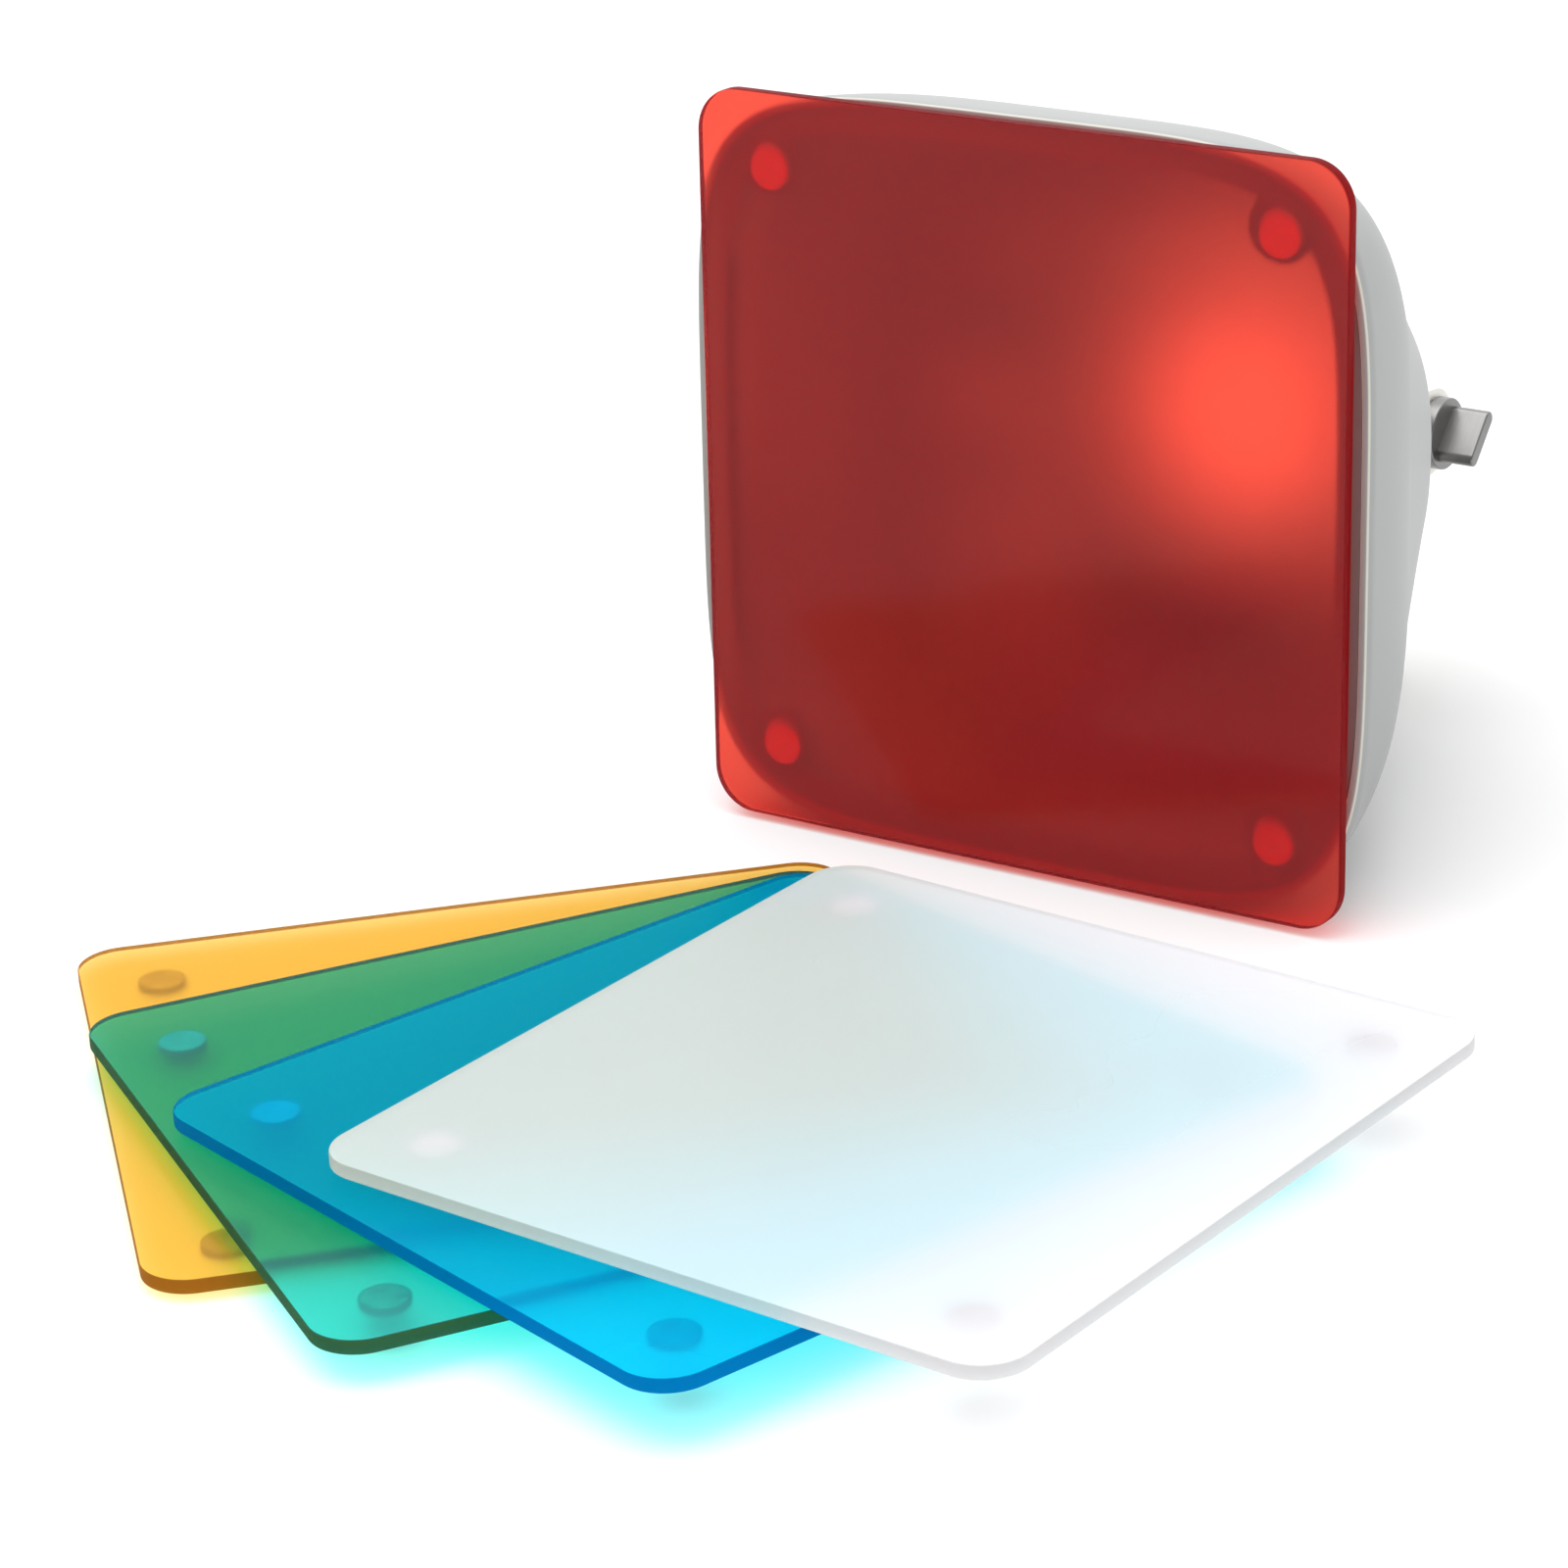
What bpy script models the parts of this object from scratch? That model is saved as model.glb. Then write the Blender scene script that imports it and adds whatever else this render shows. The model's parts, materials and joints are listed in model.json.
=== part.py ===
"""Darkroom safelight with a magnetic filter plate, a tilting stand and four spare filter plates.

Metres, +Z up. The lamp faces -Y. The origin is on the bench, in the middle of the space that the
laid-out set takes up. Bench places are drawn from the point straight below the middle of the fitted
filter's front face, and the set empty moves them. Head parts are drawn in the head's own frame (X
right, Y into the lamp, Z up, zero at the middle of the filter's front face), which hangs on the
tilt hinge.
"""

import math

import bmesh
import bpy
from mathutils import Matrix, Vector

MM = 0.001
GAP = 0.3 * MM  # running and resting clearance between separate pieces

# Filter plates and their magnets
PLATE_WIDTH = 160.0 * MM
PLATE_HEIGHT = 166.8 * MM
PLATE_THICK = 3.0 * MM
PLATE_CORNER = 10.0 * MM
PLATE_CHAMFER = 0.3 * MM
DISC_RADIUS = 5.0 * MM
DISC_THICK = 1.8 * MM
DISC_SEAT = 0.2 * MM  # glue line between a disc and its plate
DISC_INSET = 17.2 * MM
DISC_X = PLATE_WIDTH / 2 - DISC_INSET
DISC_Z = PLATE_HEIGHT / 2 - DISC_INSET
LEVEL_PITCH = PLATE_THICK + DISC_SEAT + DISC_THICK + 0.2 * MM

# Middle of the laid-out set, seen from the point below the fitted filter
SET_CENTRE_X = -0.812 * MM
SET_CENTRE_Y = -55.126 * MM

# Head placement
PLATE_CENTRE_Z = 85.2 * MM
LEAN = math.radians(2.46)  # the head leans back this much at rest

# Housing: depth stations in the head frame, and the superellipse at each of them
SHELL_X = -1.4 * MM  # housing centre, beside the filter's centre
SHELL_Z = -0.4 * MM
RIM_Y = 5.3 * MM
BAND_Y = 8.3 * MM
LEDGE_END_Y = 20.0 * MM  # the ledge behind the ring has thinned to the plain wall here
CREASE_Y = 66.0 * MM
FLANK_Y = 80.0 * MM
DOME_Y = 95.0 * MM
TURN_Y = 102.0 * MM  # the sides turn in towards the back from here
BACK_Y = 121.0 * MM
BACK_EDGE = 1.2 * MM
# half-width, half-height, power of the superellipse, how far its centre has dropped
BAND_SHAPE = (83.8 * MM, 84.0 * MM, 4.95, 0.0)
CREASE_SHAPE = (62.8 * MM, 70.9 * MM, 3.6, 8.2 * MM)
DOME_SHAPE = (52.5 * MM, 50.2 * MM, 2.56, 6.1 * MM)
BACK_SHAPE = (31.1 * MM, 28.0 * MM, 2.4, 6.1 * MM)
SIDE_BOW = 2.9 * MM
DROP_LAG = 0.7  # keeps the bowed underside level with the bench
WALL = 2.5 * MM
COVER_WALL = 2.7 * MM
AROUND = 48

# Filter ring in the rim, set back a little
RING_Y = 6.3 * MM
RING_THICK = 2.4 * MM
RIM_WALL = 1.8 * MM
RIM_EDGE = 0.5 * MM
LEDGE_WIDTH = 5.0 * MM
OPENING_INSET = 7.8 * MM
COLLAR_WALL = 1.8 * MM
COLLAR_LENGTH = 3.0 * MM
GROOVE_Y = 6.9 * MM  # shallow groove along the opening's upright sides
GROOVE_WIDTH = 1.6 * MM
GROOVE_DEPTH = 1.2 * MM
GROOVE_HALF = 45.7 * MM
PAD_RADIUS = 7.5 * MM
PAD_PROUD = 0.8 * MM
POCKET_DEPTH = 2.3 * MM
SEAT_X = -1.2 * MM  # middle of the four magnet seats, beside the filter's centre
SEAT_Z = 0.5 * MM

# Joint between front shell and rear cover
FLANGE = 9.0 * MM
FLANGE_THICK = 2.7 * MM
COVER_SCREW_X = 47.5 * MM
COVER_SCREW_Z = 54.0 * MM
SCREW_RADIUS = 1.5 * MM
SCREW_HOLE = 1.8 * MM
SCREW_HEAD = 2.8 * MM
HEAD_TOP = 2.4 * MM  # a screw head narrows to this
THROUGH = 6.0 * MM  # a hole's cutter runs this far past the wall it goes through

# Light engine on the back wall
LIGHT_X = -1.0 * MM
LIGHT_Z = -5.4 * MM
SINK_RADIUS = 25.3 * MM
SINK_THICK = 3.4 * MM
BOARD_RADIUS = 20.5 * MM
BOARD_THICK = 1.6 * MM
DOME_RADIUS = 23.5 * MM
DOME_HEIGHT = 9.7 * MM
DOME_WALL = 1.5 * MM
DOME_STEPS = 5
BEZEL_THICK = 3.0 * MM
HEAD_POCKET = 3.4 * MM  # hollow in the heat sink for a hinge screw's point
HEAD_POCKET_DEPTH = 1.9 * MM

# Driver box on the floor of the rear cover, and the lead from it
DRIVER_HALF = 24.0 * MM
DRIVER_Y = (76.0 * MM, 96.5 * MM)
DRIVER_Z = (-47.5 * MM, -35.5 * MM)
LEAD_RADIUS = 1.2 * MM
LEAD_X = 10.0 * MM
LEAD_START = (97.1 * MM, -41.0 * MM)  # Y, Z
LEAD_END = (108.5 * MM, -30.2 * MM)
LEAD_PULL = 6.0 * MM  # length of the curve handles

# Tilt hinge, in the head frame
HINGE_Y = 141.0 * MM
HINGE_Z = -15.0 * MM
HINGE_SCREW_X = 8.5 * MM
EAR_RADIUS = 10.3 * MM
EAR_INNER = 17.5 * MM
EAR_OUTER = 28.5 * MM
KNUCKLE_RADIUS = 9.7 * MM
KNUCKLE_HALF = 15.9 * MM
STUD_RADIUS = 3.0 * MM
STUD_ENDS = (-33.5 * MM, 31.4 * MM)
NUT_RADIUS = 6.2 * MM
NUT_END_X = -33.0 * MM
WASHER_RADIUS = 8.5 * MM
WASHER_THICK = 1.0 * MM
BLOCK_PLATE_HALF = 13.5 * MM
BLOCK_PLATE_THICK = 4.0 * MM

# Wing knob
KNOB_DISC_RADIUS = 8.5 * MM
KNOB_DISC_THICK = 3.5 * MM
WING_LENGTH = 14.2 * MM
WING_THICK = 3.7 * MM
WING_REACH = 8.9 * MM
WING_ANGLE = math.radians(41.6)  # from upright, top towards the back
KNOB_EDGE = 0.5 * MM
KNOB_BORE_DEPTH = 2.7 * MM
WING_TAPER = 0.1  # share of its thickness that the wing loses over the rounded end

# Controls on the left of the rear cover
SOCKET_Y = 84.0 * MM
BUTTON_Z = 16.0 * MM
JACK_Z = -14.0 * MM
CONTROL_FACE_X = -63.5 * MM
BOSS_LENGTH = 14.0 * MM
BUTTON_BOSS = 9.0 * MM
JACK_BOSS = 8.0 * MM
BUTTON_RADIUS = 4.8 * MM
BUTTON_STEM = 3.0 * MM
JACK_RADIUS = 5.3 * MM
JACK_FLANGE = 7.0 * MM
PLUG_RADIUS = 3.2 * MM
PIN_RADIUS = 1.0 * MM
SWITCH_RADIUS = 6.6 * MM

# Stand
BASE_FRONT = 77.0 * MM
BASE_REAR = 142.0 * MM
BASE_FRONT_HALF = 32.0 * MM
BASE_REAR_HALF = 19.0 * MM
BASE_THICK = 4.0 * MM
FOOT_THICK = 3.0 * MM
FOOT_RADIUS = 5.0 * MM
LEG_FOOT_Y = 126.0 * MM
LEG_THICK = 11.0 * MM
LEG_FOOT_HALF = 13.0 * MM
LEG_FOOT_THICK = 3.0 * MM
STAND_HOLE = 2.3 * MM
WALL_HOLE_X = 12.0 * MM
WALL_HOLE_Y = 92.0 * MM
LEG_SCREW_RADIUS = 2.0 * MM
LEG_SCREW_HEAD = 4.0 * MM
LEG_SCREW_REACH = 11.0 * MM
HEAD_SINK = 2.2 * MM  # depth of the hollow for the screw head under the base
BASE_CORNER = 6.0 * MM
BASE_FLARE = 12  # degrees between the base's sides and straight back

# Spare plates, fanned out on the bench: back corner X, Y, then the turn, from the lowest up
FAN = {
    "amber": (-35.6 * MM, -23.3 * MM, math.radians(45.9)),
    "green": (-29.2 * MM, -37.8 * MM, math.radians(57.25)),
    "blue": (-23.9 * MM, -49.7 * MM, math.radians(73.4)),
    "white": (-13.1 * MM, -53.3 * MM, math.radians(86.15)),
}

COLOURS = {  # name: (red, green, blue), roughness, metallic
    "housing_grey": ((0.45, 0.48, 0.48), 0.45, 0.0),
    "cover_grey": ((0.57, 0.58, 0.58), 0.45, 0.0),
    "ring_black": ((0.10, 0.10, 0.11), 0.5, 0.0),
    "cream": ((0.72, 0.68, 0.56), 0.5, 0.0),
    "steel": ((0.55, 0.55, 0.54), 0.3, 1.0),
    "nickel": ((0.62, 0.60, 0.57), 0.25, 1.0),
    "aluminium": ((0.75, 0.76, 0.77), 0.35, 1.0),
    "board": ((0.85, 0.87, 0.85), 0.6, 0.0),
    "opal": ((0.95, 0.93, 0.90), 0.4, 0.0),
    "black": ((0.03, 0.03, 0.03), 0.6, 0.0),
    "rubber": ((0.02, 0.02, 0.02), 0.9, 0.0),
    "red": ((0.85, 0.03, 0.02), 0.3, 0.0),
    "amber": ((0.95, 0.45, 0.02), 0.3, 0.0),
    "green": ((0.02, 0.55, 0.32), 0.3, 0.0),
    "blue": ((0.00, 0.45, 0.75), 0.3, 0.0),
    "white": ((0.88, 0.88, 0.90), 0.4, 0.0),
}


# ---------------------------------------------------------------- helpers


def clear_scene():
    for obj in list(bpy.data.objects):
        bpy.data.objects.remove(obj)


def material(name):
    found = bpy.data.materials.get(name)
    if found:
        return found
    colour, roughness, metallic = COLOURS[name]
    made = bpy.data.materials.new(name)
    made.use_nodes = True
    shader = made.node_tree.nodes["Principled BSDF"]
    shader.inputs["Base Color"].default_value = (*colour, 1.0)
    shader.inputs["Roughness"].default_value = roughness
    shader.inputs["Metallic"].default_value = metallic
    made.diffuse_color = (*colour, 1.0)
    return made


def empty(name, parent=None, location=(0, 0, 0), rotation=(0, 0, 0)):
    made = bpy.data.objects.new(name, None)
    made.empty_display_size = 0.02
    made.parent = parent
    made.location = location
    made.rotation_euler = rotation
    bpy.context.scene.collection.objects.link(made)
    return made


def solid(name, mesh_maker, finish, parent=None, location=(0, 0, 0), smooth=35):
    """One object from a bmesh that mesh_maker fills, with its normals facing out."""
    bm = bmesh.new()
    mesh_maker(bm)
    bmesh.ops.recalc_face_normals(bm, faces=bm.faces)
    mesh = bpy.data.meshes.new(name)
    bm.to_mesh(mesh)
    bm.free()
    if smooth:
        mesh.shade_smooth()
        mesh.set_sharp_from_angle(angle=math.radians(smooth))
    made = bpy.data.objects.new(name, mesh)
    made.data.materials.append(material(finish))
    made.parent = parent
    made.location = location
    bpy.context.scene.collection.objects.link(made)
    return made


def combine(target, other, operation):
    """A Boolean with a helper object that stays out of the part."""
    other.hide_render = True
    other.display_type = "WIRE"
    step = target.modifiers.new(operation.lower() + "_" + other.name, "BOOLEAN")
    step.operation = operation
    step.object = other


def rings(bm, loops, closed=False, caps=True):
    """Skins a list of rings of points, which all have the same count."""
    made = [[bm.verts.new(point) for point in loop] for loop in loops]
    pairs = list(zip(made, made[1:] + made[:1])) if closed else list(zip(made, made[1:]))
    count = len(made[0])
    for low, high in pairs:
        for i in range(count):
            j = (i + 1) % count
            bm.faces.new((low[i], low[j], high[j], high[i]))
    if caps and not closed:
        bm.faces.new(made[0][::-1])
        bm.faces.new(made[-1])


def along(axis):
    """Turns a shape drawn about +Z so that it lies along +X, +Y or +Z."""
    return {
        "X": Matrix.Rotation(math.pi / 2, 4, "Y"),
        "Y": Matrix.Rotation(-math.pi / 2, 4, "X"),
        "Z": Matrix.Identity(4),
    }[axis]


def turned(profile, axis="Z", at=(0, 0, 0), sides=24, closed=False):
    """A maker for a turned piece: profile is a list of (radius, height) along the axis."""
    place = Matrix.Translation(Vector(at)) @ along(axis)

    def make(bm):
        loops = []
        for radius, height in profile:
            loop = []
            for i in range(sides):
                turn = 2 * math.pi * i / sides
                spot = Vector((radius * math.cos(turn), radius * math.sin(turn), height))
                loop.append(place @ spot)
            loops.append(loop)
        rings(bm, loops, closed=closed)

    return make


def rod(radius, low, high, axis="Z", at=(0, 0, 0), sides=24):
    return turned([(radius, low), (radius, high)], axis, at, sides)


def washer(outer, inner, low, high, axis="Z", at=(0, 0, 0), sides=24):
    return turned([(outer, low), (outer, high), (inner, high), (inner, low)], axis, at, sides, True)


def block(low, high):
    """A maker for a plain box between two corners."""

    def make(bm):
        (x0, y0, z0), (x1, y1, z1) = low, high
        lower = [(x0, y0, z0), (x1, y0, z0), (x1, y1, z0), (x0, y1, z0)]
        upper = [(x, y, z1) for x, y, _ in lower]
        rings(bm, [lower, upper])

    return make


def slab(outline, low, high, lay):
    """A maker for an outline of (a, b) points pushed from low to high; lay(a, b, h) gives the point."""

    def make(bm):
        rings(bm, [[lay(a, b, h) for a, b in outline] for h in (low, high)])

    return make


def arc(centre, radius, start, end, steps):
    """Points on an arc, angles in degrees."""
    points = []
    for i in range(steps + 1):
        turn = math.radians(start + (end - start) * i / steps)
        points.append((centre[0] + radius * math.cos(turn), centre[1] + radius * math.sin(turn)))
    return points


def rounded_rectangle(width, height, radius, steps=7):
    points = []
    for sign_x, sign_y, start in ((1, 1, 0), (-1, 1, 90), (-1, -1, 180), (1, -1, 270)):
        centre = (sign_x * (width / 2 - radius), sign_y * (height / 2 - radius))
        points += arc(centre, radius, start, start + 90, steps)
    return points


# ---------------------------------------------------------------- housing sections


def mix(low, high, share):
    return [a + (b - a) * share for a, b in zip(low, high)]


def shape_at(y):
    """Half-width, half-height, power and drop of the housing's outside at a depth in the head frame."""
    if y <= BAND_Y:
        return BAND_SHAPE
    if y <= CREASE_Y:
        share = (y - BAND_Y) / (CREASE_Y - BAND_Y)
        a, b, n, drop = mix(BAND_SHAPE, CREASE_SHAPE, share)
        bow = SIDE_BOW * math.sin(math.pi * share)
        return a + bow, b + bow, n, drop * share**DROP_LAG
    share = (y - CREASE_Y) / (DOME_Y - CREASE_Y)
    if y <= DOME_Y:
        return mix(CREASE_SHAPE, DOME_SHAPE, share)
    # past the dome station the sides keep their slope and then curve in to the back's size
    a, b = mix(CREASE_SHAPE, DOME_SHAPE, share)[:2]
    over_a, over_b = mix(CREASE_SHAPE, DOME_SHAPE, (BACK_Y - CREASE_Y) / (DOME_Y - CREASE_Y))[:2]
    past = (y - DOME_Y) / (BACK_Y - DOME_Y)
    n, drop = mix(DOME_SHAPE, BACK_SHAPE, past)[2:]
    return a - (over_a - BACK_SHAPE[0]) * past**2, b - (over_b - BACK_SHAPE[1]) * past**2, n, drop


def section(y, inset=0.0):
    """One ring of the housing: a superellipse about the housing's own centre."""
    a, b, n, drop = shape_at(y)
    points = []
    for i in range(AROUND):
        turn = 2 * math.pi * (i + 0.5) / AROUND
        across = math.copysign(abs(math.cos(turn)) ** (2 / n), math.cos(turn))
        up = math.copysign(abs(math.sin(turn)) ** (2 / n), math.sin(turn))
        points.append((SHELL_X + (a - inset) * across, y, SHELL_Z - drop + (b - inset) * up))
    return points


def stations(low, high, count):
    return [low + (high - low) * i / count for i in range(count + 1)]


# ---------------------------------------------------------------- head


def build_front_shell(head):
    ring_back = RING_Y + RING_THICK + GAP

    def make(bm):
        outer = [section(RIM_Y, RIM_EDGE), section(RIM_Y + RIM_EDGE)]
        outer += [section(y) for y in stations(BAND_Y, CREASE_Y, 5)]
        inner = [section(CREASE_Y, FLANGE), section(CREASE_Y - FLANGE_THICK, FLANGE)]
        inner += [section(y, WALL) for y in stations(CREASE_Y - FLANGE_THICK, LEDGE_END_Y, 3)]
        inner += [section(ring_back, LEDGE_WIDTH), section(ring_back, RIM_WALL)]
        inner += [section(RIM_Y, RIM_WALL)]
        rings(bm, outer + inner, closed=True)

    shell = solid("front_shell", make, "housing_grey", head)
    for i, (x, z) in enumerate(cover_screw_places()):
        hole = rod(SCREW_HOLE, CREASE_Y - THROUGH, CREASE_Y + THROUGH, "Y", (x, 0, z), 16)
        combine(shell, solid(f"shell_hole_{i}", hole, "black", head), "DIFFERENCE")


def corners(x, z):
    return [(-x, z), (x, z), (-x, -z), (x, -z)]


def cover_screw_places():
    drop = CREASE_SHAPE[3]
    return [(SHELL_X + x, SHELL_Z - drop + z) for x, z in corners(COVER_SCREW_X, COVER_SCREW_Z)]


def build_filter_ring(head):
    back = RING_Y + RING_THICK
    front = RING_Y - PAD_PROUD

    def make(bm):
        outline = RIM_WALL + GAP
        lip = back + COLLAR_LENGTH
        loops = [section(RING_Y, outline), section(back, outline)]
        for inset, y in (
            (OPENING_INSET - COLLAR_WALL, back), (OPENING_INSET - COLLAR_WALL, lip),
            (OPENING_INSET, lip), (OPENING_INSET, RING_Y),
        ):
            loops.append([(x, y, z) for x, _, z in section(BAND_Y, inset)])
        rings(bm, loops, closed=True)

    ring = solid("filter_ring", make, "housing_grey", head)
    opening = BAND_SHAPE[0] - OPENING_INSET
    for name, side in (("left", -1), ("right", 1)):
        wall = SHELL_X + side * opening
        low = (wall - GROOVE_DEPTH, GROOVE_Y, SHELL_Z - GROOVE_HALF)
        high = (wall + GROOVE_DEPTH, GROOVE_Y + GROOVE_WIDTH, SHELL_Z + GROOVE_HALF)
        combine(ring, solid(f"groove_{name}", block(low, high), "black", head, smooth=0), "DIFFERENCE")
    for i, (x, z) in enumerate(corners(DISC_X, DISC_Z)):
        at = (SEAT_X + x, 0, SEAT_Z + z)
        pad = rod(PAD_RADIUS, front, back - 0.1 * MM, "Y", at, 32)
        combine(ring, solid(f"ring_pad_{i}", pad, "black", head), "UNION")
        pocket = rod(DISC_RADIUS + GAP, front - THROUGH, front + POCKET_DEPTH, "Y", at, 24)
        combine(ring, solid(f"ring_pocket_{i}", pocket, "black", head), "DIFFERENCE")
        low = front + DISC_SEAT
        magnet = rod(DISC_RADIUS, low, low + DISC_THICK, "Y", at, 20)
        solid(f"ring_magnet_{i + 1}", magnet, "nickel", head)


def build_rear_cover(head):
    def make(bm):
        front = CREASE_Y + GAP
        outer = [section(y) for y in (front, FLANK_Y, DOME_Y)]
        outer += [section(y) for y in stations(TURN_Y, BACK_Y - BACK_EDGE, 3)]
        outer += [section(BACK_Y, 0.8 * BACK_EDGE)]
        inner = [section(BACK_Y - COVER_WALL, COVER_WALL + 0.4 * MM)]
        inner += [section(y, COVER_WALL) for y in stations(BACK_Y - 3 * COVER_WALL, TURN_Y, 1)]
        inner += [section(y, COVER_WALL) for y in (DOME_Y, front + FLANGE_THICK)]
        inner += [section(front + FLANGE_THICK, FLANGE), section(front, FLANGE)]
        rings(bm, inner + outer)

    cover = solid("rear_cover", make, "cover_grey", head)
    for name, z, radius in (("button", BUTTON_Z, BUTTON_BOSS), ("jack", JACK_Z, JACK_BOSS)):
        boss = rod(radius, 0, BOSS_LENGTH, "X", (CONTROL_FACE_X, SOCKET_Y, z), 32)
        combine(cover, solid(f"{name}_boss", boss, "black", head), "UNION")
    holes = (("button", BUTTON_Z, BUTTON_RADIUS + 0.4 * MM), ("jack", JACK_Z, JACK_RADIUS + 0.5 * MM))
    for name, z, radius in holes:
        hole = rod(radius, -THROUGH, BOSS_LENGTH + THROUGH, "X", (CONTROL_FACE_X, SOCKET_Y, z), 24)
        combine(cover, solid(f"{name}_hole", hole, "black", head), "DIFFERENCE")
    screw_low, screw_high = -FLANGE_THICK - GAP, FLANGE_THICK + 0.5 * MM
    for i, (x, z) in enumerate(cover_screw_places()):
        # the cover narrows quickly, so a deeper hole would break out through its side
        hole = rod(SCREW_HOLE, CREASE_Y - THROUGH, CREASE_Y + 4 * MM, "Y", (x, 0, z), 16)
        combine(cover, solid(f"cover_hole_{i}", hole, "black", head), "DIFFERENCE")
        profile = [
            (SCREW_RADIUS, screw_high), (SCREW_RADIUS, screw_low),
            (SCREW_HEAD, screw_low), (HEAD_TOP, screw_low - 1.8 * MM),
        ]
        screw = turned(profile, "Y", (x, CREASE_Y, z), 16)
        solid(f"cover_screw_{i + 1}", screw, "steel", head)
    for i, x in enumerate((-HINGE_SCREW_X, HINGE_SCREW_X)):
        hole = rod(SCREW_HOLE, BACK_Y - THROUGH, BACK_Y + THROUGH, "Y", (x, 0, HINGE_Z), 16)
        combine(cover, solid(f"back_hole_{i}", hole, "black", head), "DIFFERENCE")


def build_light_engine(head):
    wall_face = BACK_Y - COVER_WALL - GAP
    centre = (LIGHT_X, 0, LIGHT_Z)
    sink_front = wall_face - SINK_THICK
    sink = rod(SINK_RADIUS, sink_front, wall_face, "Y", centre, 40)
    sink = solid("led_heat_sink", sink, "aluminium", head)
    for i, x in enumerate((-HINGE_SCREW_X, HINGE_SCREW_X)):
        at = (x, 0, HINGE_Z)
        pocket = rod(HEAD_POCKET, wall_face - HEAD_POCKET_DEPTH, wall_face + THROUGH, "Y", at, 16)
        combine(sink, solid(f"sink_pocket_{i}", pocket, "black", head), "DIFFERENCE")
    board_back = sink_front - GAP
    board = rod(BOARD_RADIUS, board_back - BOARD_THICK, board_back, "Y", centre, 32)
    solid("led_board", board, "board", head)
    tip = 0.4 * MM  # the dome ends in a small flat instead of a point
    skins = []
    for wall in (0.0, DOME_WALL):
        skin = []
        for i in range(DOME_STEPS + 1):
            turn = math.pi / 2 * i / DOME_STEPS
            radius = max((DOME_RADIUS - wall) * math.sin(turn), tip)
            skin.append((radius, board_back - (DOME_HEIGHT - wall) * math.cos(turn)))
        skins.append(skin)
    dome = turned(skins[0] + skins[1][::-1], "Y", centre, 28)
    solid("dome_diffuser", dome, "opal", head)
    bezel = washer(
        SINK_RADIUS, DOME_RADIUS + GAP, board_back - BEZEL_THICK, board_back, "Y", centre, 40
    )
    solid("diffuser_bezel", bezel, "aluminium", head)


def build_driver(head):
    """Driver box on the floor of the rear cover, its lead, and the socket and switch beside it."""
    low = (-DRIVER_HALF, DRIVER_Y[0], DRIVER_Z[0])
    high = (DRIVER_HALF, DRIVER_Y[1], DRIVER_Z[1])
    solid("driver_box", block(low, high), "black", head, smooth=0)
    path = bpy.data.curves.new("led_lead", "CURVE")
    path.dimensions = "3D"
    path.bevel_depth = LEAD_RADIUS
    path.bevel_resolution = 1
    path.resolution_u = 5
    path.use_fill_caps = True
    spline = path.splines.new("BEZIER")
    spline.bezier_points.add(1)
    ends = ((LEAD_START, Vector((0, LEAD_PULL, 0))), (LEAD_END, Vector((0, 1 * MM, LEAD_PULL))))
    for point, ((y, z), pull) in zip(spline.bezier_points, ends):
        point.co = (LEAD_X, y, z)
        point.handle_left = point.co - pull
        point.handle_right = point.co + pull
    lead = bpy.data.objects.new("led_lead", path)
    path.materials.append(material("black"))
    lead.parent = head
    bpy.context.scene.collection.objects.link(lead)

    jack_at = (CONTROL_FACE_X, SOCKET_Y, JACK_Z)
    face = -1.5 * MM
    profile = [
        (JACK_RADIUS, 17 * MM), (JACK_RADIUS, -GAP), (JACK_FLANGE, -GAP), (JACK_FLANGE, face),
        (PLUG_RADIUS, face), (PLUG_RADIUS, 12 * MM),
    ]
    jack = solid("dc_jack", turned(profile, "X", jack_at, 24), "black", head)
    pin = rod(PIN_RADIUS, 1.0 * MM, 14 * MM, "X", jack_at, 12)
    combine(jack, solid("jack_pin", pin, "steel", head), "UNION")

    button_at = (CONTROL_FACE_X, SOCKET_Y, BUTTON_Z)
    body = rod(SWITCH_RADIUS, BOSS_LENGTH + 1.9 * MM, BOSS_LENGTH + 11.5 * MM, "X", button_at, 24)
    solid("switch_body", body, "black", head)


def build_push_button(head):
    """The push button's own origin is on the line it travels along."""
    shoulder, cap = 9.0 * MM, -3.0 * MM
    profile = [
        (BUTTON_STEM, 11.6 * MM), (BUTTON_STEM, shoulder), (BUTTON_RADIUS, shoulder),
        (BUTTON_RADIUS, cap), (BUTTON_RADIUS - 0.4 * MM, cap - 0.6 * MM),
        (2.6 * MM, cap - 0.4 * MM), (0.4 * MM, cap - 0.2 * MM),
    ]
    at = (CONTROL_FACE_X, SOCKET_Y, BUTTON_Z)
    solid("push_button", turned(profile, "X"), "ring_black", head, at)


# ---------------------------------------------------------------- hinge


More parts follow.
